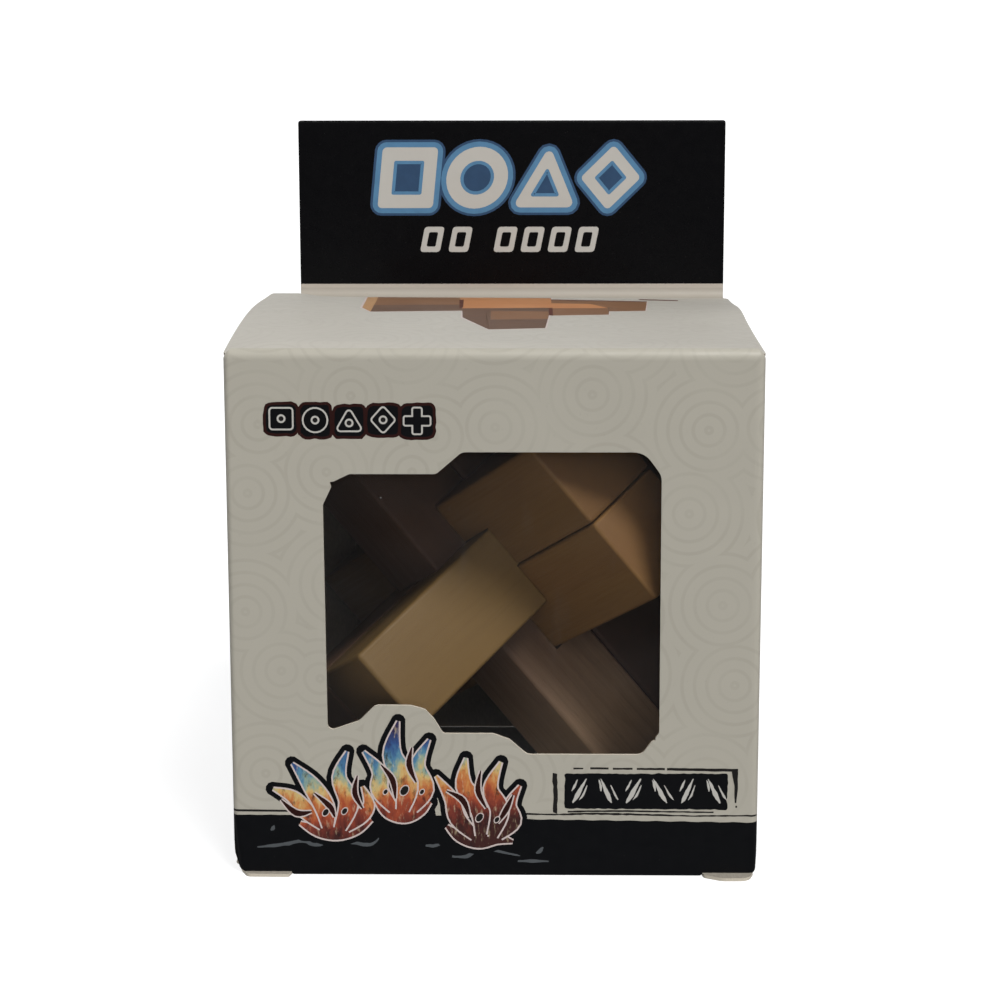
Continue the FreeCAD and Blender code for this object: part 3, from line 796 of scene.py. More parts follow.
for i in range(6):
    x, lean = 12.05 + 3.84 * i, (0.95, -0.75, 1.0, -0.95, 0.8, -0.85)[i]
    front_prints.append((jitter(stroke([(x - lean, 10.85, 0.15), (x - lean * 0.4, 11.8, 0.62), (x + lean * 0.25, 13.0, 0.5), (x + lean * 1.05, 14.45, 0.12)]), 0.08, 30 + i, 0.35), white_ink))
    front_prints.append((jitter(stroke([(x - lean + 0.95, 11.3, 0.1), (x - lean * 0.4 + 0.95, 12.1, 0.3), (x + lean * 0.3 + 0.85, 13.5, 0.1)]), 0.06, 40 + i, 0.35), white_ink))
    front_prints.append((jitter(stroke([(x - lean * 0.2 - 0.9, 12.6, 0.1), (x - 0.75 + lean * 0.1, 13.4, 0.34), (x + lean * 0.45 - 0.7, 14.3, 0.1)]), 0.06, 50 + i, 0.35), white_ink))

front_piece = board(
    "front_board", "carton", ["front_panel"], front_outline, place_front, holes=[WINDOW], prints=front_prints,
    folds_u=[-x for x in arc_steps(FLAT_X, CORNER)] + arc_steps(FLAT_X, CORNER), folds_v=arc_steps(LIP_FOOT, LIP, LIP_TURN, n=6), step=4.0)


# ------------------------------------------------------------------ side walls
def side_place(side, flat_from, flat_to, round_back):
    def place(u, v):
        a = max(0.0, u - flat_to) / CORNER if round_back else 0.0
        n = Vector((side * math.cos(a), math.sin(a), 0))
        p = Vector((side * (RIGHT - CORNER * (1 - math.cos(a))), min(u, flat_to) + CORNER * math.sin(a) if round_back else u, v))
        return dent(p), n
    return place


side_band = [(-60, -1), (60, -1), (60, 8.9), (-60, 8.9)]
side_line = [(-60, 9.42), (60, 9.42), (60, 9.68), (-60, 9.68)]
back_start = BACK - BOARD - CORNER
for side, name in ((-1, "left"), (1, "right")):
    u0, wrap = FRONT + CORNER, side < 0
    u1 = back_start + ARC if wrap else BACK - CORNER
    notch = 0.5
    outline = [(u0, SIDE_FOOT), (u1, SIDE_FOOT), (u1, SIDE_TOP), (u0, SIDE_TOP)]
    lines = [(side_band if wrap else [(-60, -1), (60, -1), (60, 8.22), (-60, 8.22)], black_ink),
             (side_line if wrap else [(-60, 8.92), (60, 8.92), (60, 9.12), (-60, 9.12)], dark_line)]
    board(name + "_side_board", "carton", [name + "_side_panel"], outline, side_place(side, u0, back_start if wrap else u1, wrap),
          prints=lines, folds_u=arc_steps(back_start, CORNER) if wrap else (), step=5.0, outer=paper_side)


# ------------------------------------------------------------------ back wall, which carries on up as the header's rear ply
FOLD = BOARD + 0.001  # the header's top fold
HEAD_FLAT = HEAD_TOP - FOLD


def place_back(u, v):
    a = max(0.0, u - FLAT_X) / CORNER
    n = Vector((math.sin(a), math.cos(a), 0))
    p = Vector((min(u, FLAT_X) + CORNER * math.sin(a), BACK - CORNER * (1 - math.cos(a)), 0))
    t = max(0.0, v - HEAD_FLAT) / FOLD
    p -= n * FOLD * (1 - math.cos(t))
    p.z = min(v, HEAD_FLAT) + FOLD * math.sin(t)
    n = n * math.cos(t) + Vector((0, 0, 1)) * math.sin(t)
    if v > TOP + 2:
        p.y += sway(p.x, p.z) * min(1.0, (v - TOP - 2) / 8)
    return p, n


HEAD_ARC = FOLD * math.pi / 2
back_outline = rounded([
    (LEFT + 0.35, 0.4, 0), (LEFT + 0.35, SIDE_TOP, 0.3), (LEFT + 1.6, TOP - 0.3, 0.5), (HEAD_LEFT, TOP - 0.2, 0), (HEAD_LEFT, HEAD_FLAT + HEAD_ARC, 0.7),
    (HEAD_RIGHT, HEAD_FLAT + HEAD_ARC, 0.7), (HEAD_RIGHT, SIDE_TOP, 0), (WALL, SIDE_TOP, 0), (WALL, SIDE_FOOT, 0), (WALL - 0.9, 0.4, 0.3)], 4)
back_prints = [([(-60, -1), (60, -1), (60, 8.5), (-60, 8.9)], black_ink), ([(-60, 9.42), (60, 9.2), (60, 9.4), (-60, 9.68)], dark_line),
               ([(-60, TOP + 2.3), (60, TOP + 2.3), (60, 140), (-60, 140)], black_header)]
board("back_board", "carton", ["back_panel"], back_outline, place_back, thickness=BOARD, prints=back_prints,
      folds_u=arc_steps(FLAT_X, CORNER), folds_v=arc_steps(HEAD_FLAT, FOLD, n=4), step=5.0, outer=paper_side)


# ------------------------------------------------------------------ header's front ply
def place_header(u, v):
    t = max(0.0, v - HEAD_FLAT) / FOLD
    y = HEAD_FACE + FOLD * (1 - math.cos(t))
    z = min(v, HEAD_FLAT) + FOLD * math.sin(t)
    y += sway(u, z) * min(1.0, max(0.0, (v - TOP - 2) / 8))
    return Vector((u, y, z)), Vector((0, -math.cos(t), math.sin(t)))


HEAD_FOOT = TOP + 0.05
header_outline = rounded([(HEAD_LEFT, HEAD_FOOT, 0), (HEAD_LEFT, HEAD_FLAT + HEAD_ARC, 0.7), (HEAD_RIGHT, HEAD_FLAT + HEAD_ARC, 0.7), (HEAD_RIGHT, HEAD_FOOT, 0)], 4)
header_prints = [([(-60, 77.25), (60, 77.35), (60, 140), (-60, 140)], black_header)]
LEAN = 0.10


def leaned(poly, cx, cz):
    return [(x + (z - cz) * LEAN, z) for x, z in poly]


tiles = []
for i, cx in enumerate((-15.6, -4.1, 7.4, 18.0)):
    cz = 94.9
    shape = [
        rounded([(cx - 4.6, cz - 5.0, 0.7), (cx + 4.6, cz - 5.0, 0.7), (cx + 4.6, cz + 5.0, 0.7), (cx - 4.6, cz + 5.0, 0.7)], 4),
        circle(cx, cz, 5.1, 36),
        rounded([(cx - 5.2, cz - 4.9, 0.8), (cx + 5.2, cz - 4.9, 0.8), (cx, cz + 5.3, 0.8)], 4),
        rounded([(cx, cz - 5.4, 0.7), (cx + 5.0, cz, 0.7), (cx, cz + 5.4, 0.7), (cx - 5.0, cz, 0.7)], 4)][i]
    hole = [
        rounded([(cx - 2.5, cz - 2.8, 0.3), (cx + 2.5, cz - 2.8, 0.3), (cx + 2.5, cz + 2.8, 0.3), (cx - 2.5, cz + 2.8, 0.3)], 3),
        circle(cx, cz, 2.8, 26),
        rounded([(cx - 2.5, cz - 3.1, 0.3), (cx + 2.5, cz - 3.1, 0.3), (cx, cz + 1.8, 0.3)], 3),
        rounded([(cx, cz - 2.9, 0.3), (cx + 2.7, cz, 0.3), (cx, cz + 2.9, 0.3), (cx - 2.7, cz, 0.3)], 3)][i]
    tiles.append((leaned(shape, cx, cz), leaned(hole, cx, cz)))
for shape, _ in tiles:
    header_prints.append((simple_shift(shape, 1.25), blue_deep))
for shape, _ in tiles:
    header_prints.append((simple_shift(shape, 0.85), blue_ink))
for shape, hole in tiles:
    header_prints.append((shape, white_ink))
    header_prints.append((hole, blue_ink))
    header_prints.append((simple_shift(hole, -0.55), blue_deep))
for i, x in enumerate((-11.6, -6.9, 0.6, 5.1, 9.6, 14.1)):
    cz = 84.7
    poly = rounded([(x - 1.65, cz - 2.1, 0.5), (x + 1.65, cz - 2.1, 0.5), (x + 1.65, cz + 2.1, 0.5), (x - 1.65, cz + 2.1, 0.5)], 3)
    hole = rounded([(x - 0.75, cz - 1.2, 0.25), (x + 0.75, cz - 1.2, 0.25), (x + 0.75, cz + 1.2, 0.25), (x - 0.75, cz + 1.2, 0.25)], 3)
    poly = [(a + (b - cz) * 0.2, b) for a, b in poly]
    hole = [(a + (b - cz) * 0.2, b) for a, b in hole]
    header_prints.append((poly, white_ink))
    header_prints.append((hole, black_header))
board("header_board", "carton", ["header_front_ply"], header_outline, place_header, prints=header_prints,
      folds_v=arc_steps(HEAD_FLAT, FOLD, n=4), step=3.0, outer=paper_header)

# ------------------------------------------------------------------ lid
BOW = [(-37.5, 2.85), (-24.0, 2.55), (-11.0, 2.22), (10.0, 1.62), (37.5, 0.80)]
BOW_LINE = spline(BOW, steps=8)
NOSE = 0.45  # radius of the fold at the lid's front edge
LIFT = 0.80  # how far the lid stands up behind the rolled edge of the front wall
NOSE_Y = FRONT + 1.30
NOSE_TURN = 1.40
NOSE_ARC = NOSE * NOSE_TURN
TUCK_IN = 0.85  # the short run from the nose down behind the front wall


def lid_surface(x, y):
    """Height of the closed lid: bowed across and along, and swollen behind its front fold."""
    rise = float(np.interp(x, [b[0] for b in BOW_LINE], [b[1] for b in BOW_LINE]))
    mid, half = (LID_FRONT + LID_BACK) / 2, (LID_BACK - LID_FRONT) / 2
    t = max(-1.0, min(1.0, (y - mid) / half))
    e = min(1.0, max(0.0, (RIGHT - abs(x)) / 6.0))
    e = e * e * (3 - 2 * e)
    swell = LIFT * (0.42 + 0.58 * e) * math.exp(-max(0.0, y - NOSE_Y) / 13.0) * (1 - max(0.0, t)) ** 2
    droop = 0.20 * (1 - e) ** 2 * (1 - t * t)
    swell += 0.75 * max(0.0, (x - 22.0) / 15.5) ** 1.5 * math.exp(-((y - 9.0) / 14.0) ** 2) * (1 - t * t)
    # the far left corner stands up a little, most of all where the header isn't behind it
    wide, side = min(1.0, max(0.0, (-28.6 - x) / 3.5)), min(1.0, max(0.0, (HEAD_LEFT + 0.4 - x) / 2.4))
    wide, side = wide * wide * (3 - 2 * wide), side * side * (3 - 2 * side)
    swell += 0.55 * (side * math.exp(-((y - 28.0) / 9.0) ** 2) + (1 - side) * wide * math.exp(-((y - 23.5) / 6.5) ** 2)) * min(1.0, max(0.0, (LID_BACK - y) / 4.0))
    sink = 0.07 * max(0.0, 1 - (LID_BACK - y) / 2.5)  # the board is pressed down along its back fold
    return TOP + rise * (1 - t * t) + swell - droop - sink + 0.06 * (1 - t * t) * noise.noise(Vector((x * 0.07, y * 0.08, 4.2)))


def lid_height(x, y):
    z = lid_surface(x, y)
    return z, (lid_surface(x, y + 0.4) - z) / 0.4


def place_lid(u, v):
    y = max(v, NOSE_Y)
    z, slope = lid_height(u, y)
    across = (lid_surface(u + 0.3, y) - lid_surface(u - 0.3, y)) / 0.6
    if v >= NOSE_Y:
        return Vector((u, v, z)), Vector((-across, -slope, 1)).normalized()
    a0 = math.atan(slope)
    a = min(NOSE_TURN - a0, (NOSE_Y - v) / NOSE)  # the fold starts along the lid's own slope
    past = max(0.0, NOSE_Y - v - NOSE_ARC)
    tip = max(0.0, min(1.0, (abs(u) - RIGHT + 1.6) / 1.6)) ** 2
    c = Vector((u, NOSE_Y + NOSE * math.sin(a0), z - NOSE * math.cos(a0)))
    d = Vector((0, -math.sin(a + a0), math.cos(a + a0)))
    p = c + d * NOSE
    p.z -= past * 0.97
    p.y += 0.25 * tip * a - past * 0.22
    return p, (d - Vector((across, 0, 0)) * max(0.0, 1 - a)).normalized()


lid_outline = rounded([
    (LEFT, NOSE_Y - NOSE_ARC + 0.5, 0.3), (LEFT + 1.6, NOSE_Y - NOSE_ARC - TUCK_IN, 0.3), (RIGHT - 1.6, NOSE_Y - NOSE_ARC - TUCK_IN, 0.3), (RIGHT, NOSE_Y - NOSE_ARC + 0.5, 0.3),
    (RIGHT, LID_BACK - 2.4, 1.0), (HEAD_RIGHT - 0.2, LID_BACK - 0.1, 0.4), (LEFT + 0.3, LID_BACK - 0.1, 0.6)], 4)
lid_prints = [
    # painted shade: a dark grey line along the lid's front fold at the left, for the shadow in the slit behind the
    # front wall's rolled edge
    (jitter([(LEFT + 4.5, NOSE_Y - 0.10), (-27.0, NOSE_Y - 0.10), (-27.0, NOSE_Y + 0.30), (LEFT + 4.5, NOSE_Y + 0.20)], 0.06, 61), fold_painted_shade),
    ([(-21.9, 23.4), (-20.1, 26.5), (-6.6, 36.2), (8.4, 33.3), (8.3, 26.6), (23.9, 25.0), (22.9, 6.4), (17.1, 3.9), (17.0, -1.2), (7.9, -4.0), (7.3, -17.8), (-1.1, -20.3), (-5.5, -9.1), (-5.6, -1.3), (-19.3, -5.4), (-21.1, -0.4)], pale_line),
    ([(-21.6, 23.4), (-20.0, 26.3), (-6.6, 36.0), (8.2, 33.1), (8.1, 26.4), (23.7, 24.8), (22.7, 6.7), (17.0, 4.2), (16.8, -0.8), (7.7, -3.6), (7.1, -17.6), (-1.1, -20.0), (-5.2, -8.9), (-5.4, -0.9), (-19.2, -5.1), (-20.8, -0.2)], pic_dark),
    ([(-20.0, 26.3), (-6.6, 36.0), (-5.4, -0.9), (-19.2, -5.1), (-19.3, 8.8)], pic_side),
    ([(-19.9, 4.0), (-5.4, 9.0), (-5.4, -0.9), (-19.2, -5.1), (-19.6, 0.0)], pic_dark),
    ([(-21.6, 23.4), (-20.0, 26.3), (-19.3, 8.8), (-19.2, -5.1), (-20.8, -0.2)], pic_end),
    ([(8.1, 26.4), (23.7, 24.8), (22.7, 6.7), (17.0, 4.2), (17.2, 10.7), (8.1, 15.5)], pic_side),
    ([(22.5, 31.4), (29.0, 29.1), (28.8, 26.6), (22.7, 27.9)], pic_line),
    ([(8.1, 15.5), (14.3, 16.4), (17.0, 9.8), (8.0, 6.3)], pic_top),
    ([(8.0, 6.3), (17.0, 9.8), (16.8, -0.8), (8.0, -3.9)], pic_side),
    ([(-7.1, 36.0), (8.2, 33.1), (8.1, 7.1), (-1.1, 3.8), (-2.7, -4.0), (-5.6, 2.5)], pic_top),
    ([(-7.1, 36.0), (8.2, 33.1), (8.2, 30.8), (-7.0, 33.6)], pic_line),
    ([(-20.0, 26.3), (-7.1, 36.0), (-7.1, 33.5), (-19.9, 23.8)], pic_line),
    ([(8.1, 26.4), (23.7, 24.8), (23.7, 23.2), (8.1, 24.2)], pic_line),
    ([(-1.4, 3.7), (7.7, 6.2), (7.7, -3.4), (7.1, -17.6), (-1.1, -20.0), (-1.9, -1.3)], pic_dark),
    ([(-1.1, 0.0), (7.6, 1.4), (7.7, -3.4), (7.5, -8.0), (-1.0, -10.5)], pic_side),
    ([(-5.6, 2.5), (-1.4, 3.8), (-1.0, -20.0), (-5.2, -8.9)], pic_dark),
    ([(7.7, 7.0), (8.3, 7.2), (8.3, -3.9), (7.7, -3.6)], pic_line),
    ([(-6.6, 20.0), (-5.9, 20.6), (-5.5, 4.0), (-6.0, 2.0)], pic_line)]
board("lid_board", "lid", ["lid_panel"], lid_outline, place_lid, prints=lid_prints,
      folds_v=[NOSE_Y - NOSE_ARC * k / 5 for k in range(6)] + [NOSE_Y + 0.9, NOSE_Y - NOSE_ARC - TUCK_IN * 0.5], step=3.0, outer=paper_lid_painted_lighter, inner=inside_flap)


# ------------------------------------------------------------------ tuck flaps
TILT = math.radians(9.0)
TUCK_HALF = tuck_high[0]


def tuck_outline(length):
    h = TUCK_HALF
    return rounded([(-h, 0.0, 0), (-h, length * 0.45, 3.0), (-h + 5.5, length, 5.0), (h - 5.5, length, 5.0), (h, length * 0.45, 3.0), (h, 0.0, 0)], 6)


def place_lid_tuck(u, v):
    # hangs from the lid's fold and leans inward, with a slight curl at the free edge
    curl = 0.0016 * v * v
    start = Vector((u, LID_FRONT + 0.02, tuck_high[2] - 0.04))
    down = Vector((0, math.sin(TILT), -math.cos(TILT)))
    n = Vector((0, -math.cos(TILT), -math.sin(TILT)))
    return start + down * v - n * curl, n


board("lid_tuck_board", "lid_tuck", ["lid_tuck_flap"], tuck_outline(12.95), place_lid_tuck, step=4.0, outer=paper_plain, inner=inside_flap)


def place_base_tuck(u, v):
    curl = 0.0016 * v * v
    start = Vector((u, LID_FRONT + 0.02, base_tuck_low[2] + 0.04))
    up = Vector((0, math.sin(TILT), math.cos(TILT)))
    n = Vector((0, -math.cos(TILT), math.sin(TILT)))
    return start + up * v - n * curl, n


board("bottom_tuck_board", "bottom_tuck", ["bottom_tuck_flap"], tuck_outline(12.95), place_base_tuck, step=4.0, outer=paper_plain, inner=inside_flap)

# ------------------------------------------------------------------ dust flaps, each folded in over a small radius
HINGE = 0.44


def dust_outline():
    reach = 20.5 - HINGE + HINGE * math.pi / 2
    return rounded([(0, -34.8, 0), (2.5, -34.4, 1.0), (reach, -25.5, 2.5), (reach, 35.6 - 20.5, 2.5), (0.6, 35.2, 0.4), (0, 35.2, 0)], 5)


def dust_place(side, start_z, up):
    arc = HINGE * math.pi / 2

    def place(u, v):
        a = min(u, arc) / HINGE
        flat = max(0.0, u - arc)
        x = RIGHT - HINGE * (1 - math.cos(a)) - flat
        z = start_z + up * HINGE * math.sin(a)
        return Vector((side * x, v, z)), Vector((side * math.cos(a), 0, up * math.sin(a)))
    return place


for side, name in ((-1, "left"), (1, "right")):
    for level, up in (("lid", 1), ("bottom", -1)):
        low, high = node_box(f"{level}_dust_flap_{name}")
        start = low[2] if up > 0 else high[2]
        board(f"{level}_dust_board_{name}", f"{level}_flap_{name}", [f"{level}_dust_flap_{name}"], dust_outline(), dust_place(side, start, up),
              thickness=0.40, folds_u=arc_steps(0, HINGE, n=4), step=4.0, outer=paper_plain, inner=inside_flap)

# ------------------------------------------------------------------ bottom panel with its two front shoulders
base_left, base_right = base_low[0], base_high[0]


def place_base(u, v):
    # printed side down; the two cut shoulders reach out a little under the front wall
    z = base_low[2]
    return Vector((u, v, z)), Vector((0, 0, -1))


base_outline = rounded([
    (base_left + 0.5, base_high[1] - 0.2, 0.3), (base_left + 0.5, FRONT + 3.0, 0.4), (base_left + 1.1, FRONT + 0.9, 0.6), (base_left + 2.0, FRONT - 1.1, 0.9), (-29.5, FRONT - 1.2, 0.4), (-29.1, LID_FRONT + 0.1, 0.15),
    (29.6, LID_FRONT + 0.1, 0.15), (29.9, FRONT - 0.9, 0.7), (32.4, FRONT - 2.3, 2.5), (base_right - 1.3, FRONT - 2.2, 1.6), (base_right - 0.5, FRONT + 0.4, 0.8), (base_right - 0.5, base_high[1] - 0.2, 0.3)], 5)
board("bottom_board", "bottom", ["bottom_panel"], base_outline, place_base, step=5.0, outer=paper_plain, inner=inside_flap, edge=raw_edge)

# ------------------------------------------------------------------ glue flap
def place_glue(u, v):
    return Vector((u, BACK - BOARD, v)), Vector((0, 1, 0))


glue_outline = rounded([
    (LEFT + CORNER, glue_low[2], 0), (glue_high[0], glue_low[2] + 4.2, 1.0), (glue_high[0], glue_high[2] - 4.2, 1.0), (LEFT + CORNER, glue_high[2], 0)], 5)
board("glue_flap_board", "carton", ["glue_flap"], glue_outline, place_glue, thickness=BOARD, step=5.0, outer=paper_plain)


# ------------------------------------------------------------------ window film
def place_film(u, v):
    # bellies into the carton by a hair between its glued margins
    s = math.sin(math.pi * (u - film_low[0]) / (film_high[0] - film_low[0])) * math.sin(math.pi * (v - film_low[2]) / (film_high[2] - film_low[2]))
    y = film_low[1] + 0.06 * s * (1 + 0.8 * noise.noise(Vector((u * 0.08, v * 0.06, 3.1))))
    return Vector((u, y, v)), Vector((0, -1, 0))


film_outline = rounded([(film_low[0], film_low[2], 2), (film_low[0], film_high[2], 2), (film_high[0], film_high[2], 2), (film_high[0], film_low[2], 2)], 5)
board("window_film_sheet", "carton", ["window_film"], film_outline, place_film, thickness=0.10, step=2.5, outer=film_mat, inner=film_mat, edge=film_mat)


# ------------------------------------------------------------------ crease between the header's foot and the lid
def crease():
    name, reach, n, m = "lid_crease", 1.55, 9, 36
    verts, faces, uvs = [], [], []
    xs = [HEAD_LEFT + 0.05 + (HEAD_RIGHT - HEAD_LEFT - 0.1) * i / m for i in range(m + 1)]
    ring = n + 3
    for x in xs:
        y1 = HEAD_FACE - 0.015
        z1 = TOP + 0.10 + reach
        y0 = HEAD_FACE - 0.1 - reach
        z0 = lid_height(x, y0)[0] + 0.02
        zc = TOP + 0.02
        line = []
        for k in range(n):
            t = k / (n - 1)
            # quadratic curve with its control point near the corner
            by, bz = y1 - 0.22, z0 + 0.06
            y = (1 - t) ** 2 * y1 + 2 * t * (1 - t) * by + t * t * y0
            z = (1 - t) ** 2 * z1 + 2 * t * (1 - t) * bz + t * t * z0
            line.append((x, y, z))
        line.append((x, y0 + 0.02, z0 - 0.10))
        line.append((x, y1 - 0.02, zc))
        line.append((x, y1 + 0.06, z1 - 0.02))
        verts += line
        uvs += [(x, 75 + 3.5 * k / ring) for k in range(ring)]
    for i in range(m):
        for k in range(ring):
            a, b = i * ring + k, i * ring + (k + 1) % ring
            faces.append((a, b, b + ring, a + ring))
    faces.append(tuple(range(ring))[::-1])
    faces.append(tuple(m * ring + k for k in range(ring)))
    mesh = bpy.data.meshes.new(name)
    mesh.from_pydata([tuple(c * MM for c in v) for v in verts], [], faces)
    # the darker crease board: partly wear, partly painted shade in the fold
    mesh.materials.append(paper_crease)
    uv = mesh.uv_layers.new(name="sheet")
    loops = np.zeros(len(mesh.loops), int)
    mesh.loops.foreach_get("vertex_index", loops)
    uv.data.foreach_set("uv", (np.array(uvs)[loops] / 100).astype(np.float32).ravel())
    mesh.polygons.foreach_set("use_smooth", [True] * len(faces))
    bm = bmesh.new()
    bm.from_mesh(mesh)
    bmesh.ops.recalc_face_normals(bm, faces=bm.faces)
    bm.to_mesh(mesh)
    bm.free()
    mesh.set_sharp_from_angle(angle=math.radians(50))
    obj = bpy.data.objects.new(name, mesh)
    bpy.context.scene.collection.objects.link(obj)
    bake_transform(obj)
    return obj


crease()

# ------------------------------------------------------------------ the six notched sticks
UNIT, HALF, PLAY, ROUND = 7.1, 37.0 / 7.1, 0.11, 0.65
rise_axis = Vector((0.60795, 0.63346, 0.47867)).normalized()
key_axis = Vector((0.46423, -0.77269, 0.43295))
key_axis = (key_axis - rise_axis * key_axis.dot(rise_axis)).normalized()
fall_axis = rise_axis.cross(key_axis).normalized()
LATTICE = Matrix((key_axis, fall_axis, rise_axis)).transposed()
CENTRE = Vector((0.8906, -1.4031, 38.2))
STICKS = {
    "key_stick": (((-HALF, HALF), (0, 2), (-1, 1)), []),
    "key_neighbour_stick": (((-HALF, HALF), (-2, 0), (-1, 1)), [
        (-1, -2, 0), (-1, -1, -1), (-1, -1, 0), (0, -2, 0), (0, -1, -1), (0, -1, 0), (1, -1, -1), (1, -1, 0)]),
    "falling_stick_left": (((-1, 1), (-HALF, HALF), (-2, 0)), [
        (-1, -2, -1), (-1, -1, -2), (-1, -1, -1), (-1, 0, -2), (-1, 0, -1), (-1, 1, -1), (0, -2, -1), (0, 0, -1), (0, 1, -1)]),
    "falling_stick_right": (((-1, 1), (-HALF, HALF), (0, 2)), [
        (-1, -1, 0), (-1, -1, 1), (-1, 0, 0), (-1, 0, 1), (-1, 1, 0), (0, 0, 0), (0, 1, 0)]),
    "rising_stick_rear": (((-2, 0), (-1, 1), (-HALF, HALF)), [
        (-2, -1, -1), (-2, -1, 0), (-2, 0, -1), (-2, 0, 0), (-1, 0, -1), (-1, 0, 0)]),
    "rising_stick_front": (((0, 2), (-1, 1), (-HALF, HALF)), [
        (0, -1, -2), (0, -1, -1), (0, -1, 0), (0, -1, 1), (0, 0, -2), (0, 0, -1), (0, 0, 0), (0, 0, 1), (1, 0, -1), (1, 0, 0)]),
}
TONES = {
    "key_stick": ("wood_tan", lin(128, 96, 55), lin(123, 88, 51), lin(94, 62, 35)),
    "key_neighbour_stick": ("wood_tan", lin(120, 90, 53), lin(114, 83, 49), lin(90, 60, 34)),
    "falling_stick_left": ("wood_brown", lin(78, 56, 44), lin(72, 52, 41), lin(58, 41, 32)),
    "falling_stick_right": ("wood_brown", lin(76, 52, 42), lin(70, 48, 38), lin(56, 38, 30)),
    "rising_stick_rear": ("wood_brown", lin(104, 78, 60), lin(96, 72, 55), lin(74, 52, 38)),
    "rising_stick_front": ("wood_tan", lin(113, 89, 53), lin(107, 84, 49), lin(88, 65, 36)),
}


# painted light and shade: this stick is painted dark at one end and pale towards the other, standing for the shade and
# light along it
PAINTED_LIGHT_END = {"falling_stick_left": lin(188, 156, 126)}


def solid_box(name, low, high, radius=0.0, segments=3):
    bm = bmesh.new()
    bmesh.ops.create_cube(bm, size=1.0)
    for v in bm.verts:
        v.co = Vector([low[i] if v.co[i] < 0 else high[i] for i in range(3)])
    if radius:
        bmesh.ops.bevel(bm, geom=bm.edges[:], offset=radius, offset_type="OFFSET", segments=segments, profile=0.5, affect="EDGES")
    mesh = bpy.data.meshes.new(name)
    bm.to_mesh(mesh)
    bm.free()
    obj = bpy.data.objects.new(name, mesh)
    bpy.context.scene.collection.objects.link(obj)
    return obj


for number, (name, (extent, removed)) in enumerate(STICKS.items()):
    long_axis = max(range(3), key=lambda i: extent[i][1] - extent[i][0])
    low = [e[0] * UNIT + (0 if i == long_axis else PLAY) for i, e in enumerate(extent)]
    high = [e[1] * UNIT - (0 if i == long_axis else PLAY) for i, e in enumerate(extent)]
    obj = solid_box(name + "_wood", low, high, ROUND, 4)
    cutters = []
    for k, cube in enumerate(removed):
        eps = 0.0007 * (k + 1)
        c = solid_box(f"cut_{number}_{k}", [a * UNIT - PLAY - eps for a in cube], [(a + 1) * UNIT + PLAY + eps for a in cube])
        cutters.append(c)
        m = obj.modifiers.new(f"cut{k}", "BOOLEAN")
        m.operation, m.solver, m.object = "DIFFERENCE", "EXACT", c
    bpy.context.view_layer.update()
    dg = bpy.context.evaluated_depsgraph_get()
    mesh = bpy.data.meshes.new_from_object(obj.evaluated_get(dg), depsgraph=dg)
    obj.modifiers.clear()
    obj.data = mesh
    for c in cutters:
        bpy.data.objects.remove(c)
    bm = bmesh.new()
    bm.from_mesh(mesh)
    bmesh.ops.remove_doubles(bm, verts=bm.verts, dist=0.006)
    bmesh.ops.dissolve_degenerate(bm, dist=0.001, edges=bm.edges)
    bmesh.ops.triangulate(bm, faces=[f for f in bm.faces if len(f.verts) > 4])
    bm.to_mesh(mesh)
    bm.free()
    place = Matrix.Translation(CENTRE) @ LATTICE.to_4x4()
    mesh.transform(Matrix.Scale(MM, 4) @ place)
    mesh.polygons.foreach_set("use_smooth", [True] * len(mesh.polygons))
    mesh.set_sharp_from_angle(angle=math.radians(32))
    slot_name, light, mid, dark = TONES[name]
    middle = [sum(e) / 2 * UNIT for e in extent]
    mesh.materials.clear()
    mesh.materials.append(wood(name + "_grain", LATTICE, tuple(place @ Vector(middle)), light, mid, dark, number + 1.0, long_axis, pale=PAINTED_LIGHT_END.get(name)))
    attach(obj, "key" if name == "key_stick" else "carton")
    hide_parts(name)

# ------------------------------------------------------------------ floor and backdrop
floor_shader = Shader("studio_floor")
fp = floor_shader.object_mm(1.0)
fc = floor_shader.mix(floor_shader.noise(fp, 3.0, 3.0), (0.35, 0.355, 0.365, 1), (0.365, 0.37, 0.38, 1))
fs = floor_shader.surface(fc, 0.75, floor_shader.bump(floor_shader.noise(fp, 400.0, 2.0), 0.05, 0.0001), 0.0)
fs.inputs["Emission Color"].default_value = (1.0, 1.0, 1.0, 1.0)
fs.inputs["Emission Strength"].default_value = 0.78
profile = [(0.0, 0.0), (0.5, 0.0), (1.1, 0.0)] + [(1.1 + 0.7 * math.sin(t), 0.7 - 0.7 * math.cos(t)) for t in np.linspace(0.08, math.pi / 2, 14)] + [(1.8, 3.5)]
spin, n = 72, len(profile)
verts = [(r * math.cos(2 * math.pi * k / spin), r * math.sin(2 * math.pi * k / spin), z - 0.00002) for k in range(spin) for r, z in profile[1:]] + [(0, 0, -0.00002)]
m = n - 1
faces = [(k * m + i, k * m + i + 1, (k + 1) % spin * m + i + 1, (k + 1) % spin * m + i) for k in range(spin) for i in range(m - 1)]
faces += [(spin * m, k * m, (k + 1) % spin * m) for k in range(spin)]
mesh = bpy.data.meshes.new("studio_sweep")
mesh.from_pydata(verts, [], faces)
mesh.polygons.foreach_set("use_smooth", [True] * len(faces))
mesh.materials.append(floor_shader.mat)
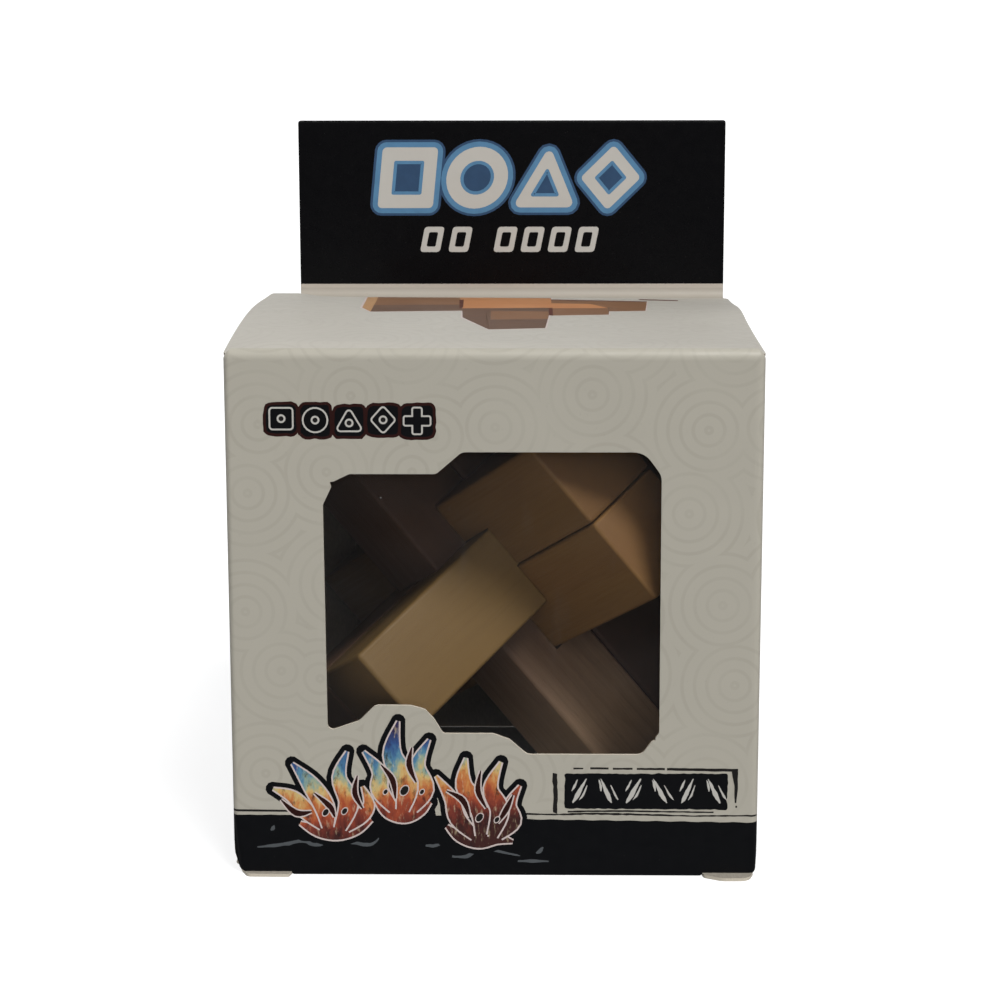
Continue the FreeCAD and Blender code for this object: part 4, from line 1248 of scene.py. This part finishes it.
floor = bpy.data.objects.new("studio_sweep", mesh)
bpy.context.scene.collection.objects.link(floor)
floor.visible_shadow = False
floor.visible_diffuse = floor.visible_glossy = False  # dark flags round the set keep the floor's own bounce off the object

# ------------------------------------------------------------------ light
world = bpy.data.worlds.new("studio")
bpy.context.scene.world = world
world.use_nodes = True
world.node_tree.nodes["Background"].inputs[0].default_value = (0.98, 0.99, 1.0, 1)
world.node_tree.nodes["Background"].inputs[1].default_value = 0.24


def sun(name, towards, strength, soft, colour=(1, 1, 1)):
    """A broad, soft light far off in the direction towards, soft degrees across."""
    light = bpy.data.lights.new(name, "SUN")
    light.energy, light.angle, light.color = strength, math.radians(soft), colour
    obj = bpy.data.objects.new(name, light)
    bpy.context.scene.collection.objects.link(obj)
    obj.rotation_euler = Vector(towards).to_track_quat("Z", "Y").to_euler()
    obj.location = Vector(towards) * 1.5
    return obj


sun("soft_key", (0.30, -0.51, 0.81), 2.85, 21, (1.0, 0.985, 0.95))
sun("soft_back", (-0.72, 0.60, 0.42), 1.25, 45)
sun("soft_fill_back", (0.25, 1.0, 0.12), 0.45, 60).visible_glossy = False
sun("soft_fill", (0.12, -1.0, 0.18), 0.80, 60, (1.0, 0.95, 0.90)).visible_glossy = False

# ------------------------------------------------------------------ camera
turn = Matrix.Rotation(math.radians(0.933126), 3, "Z") @ Matrix.Rotation(math.radians(-10.96635), 3, "X") @ Matrix.Rotation(math.radians(0.0910745), 3, "Y")
right, forward, up = turn.col[0], turn.col[1], turn.col[2]
view = Matrix((right, up, -forward)).transposed().to_4x4()
cam = bpy.data.cameras.new("camera")
cam.sensor_width, cam.lens, cam.clip_start, cam.clip_end = 36.0, 88.964, 0.01, 20.0
camera = bpy.data.objects.new("camera", cam)
bpy.context.scene.collection.objects.link(camera)
camera.matrix_world = Matrix.Translation((0.006313, -0.375601, 0.120378)) @ view
bpy.context.scene.camera = camera
bpy.context.scene.view_settings.view_transform = "Standard"
bpy.context.scene.view_settings.look = "None"
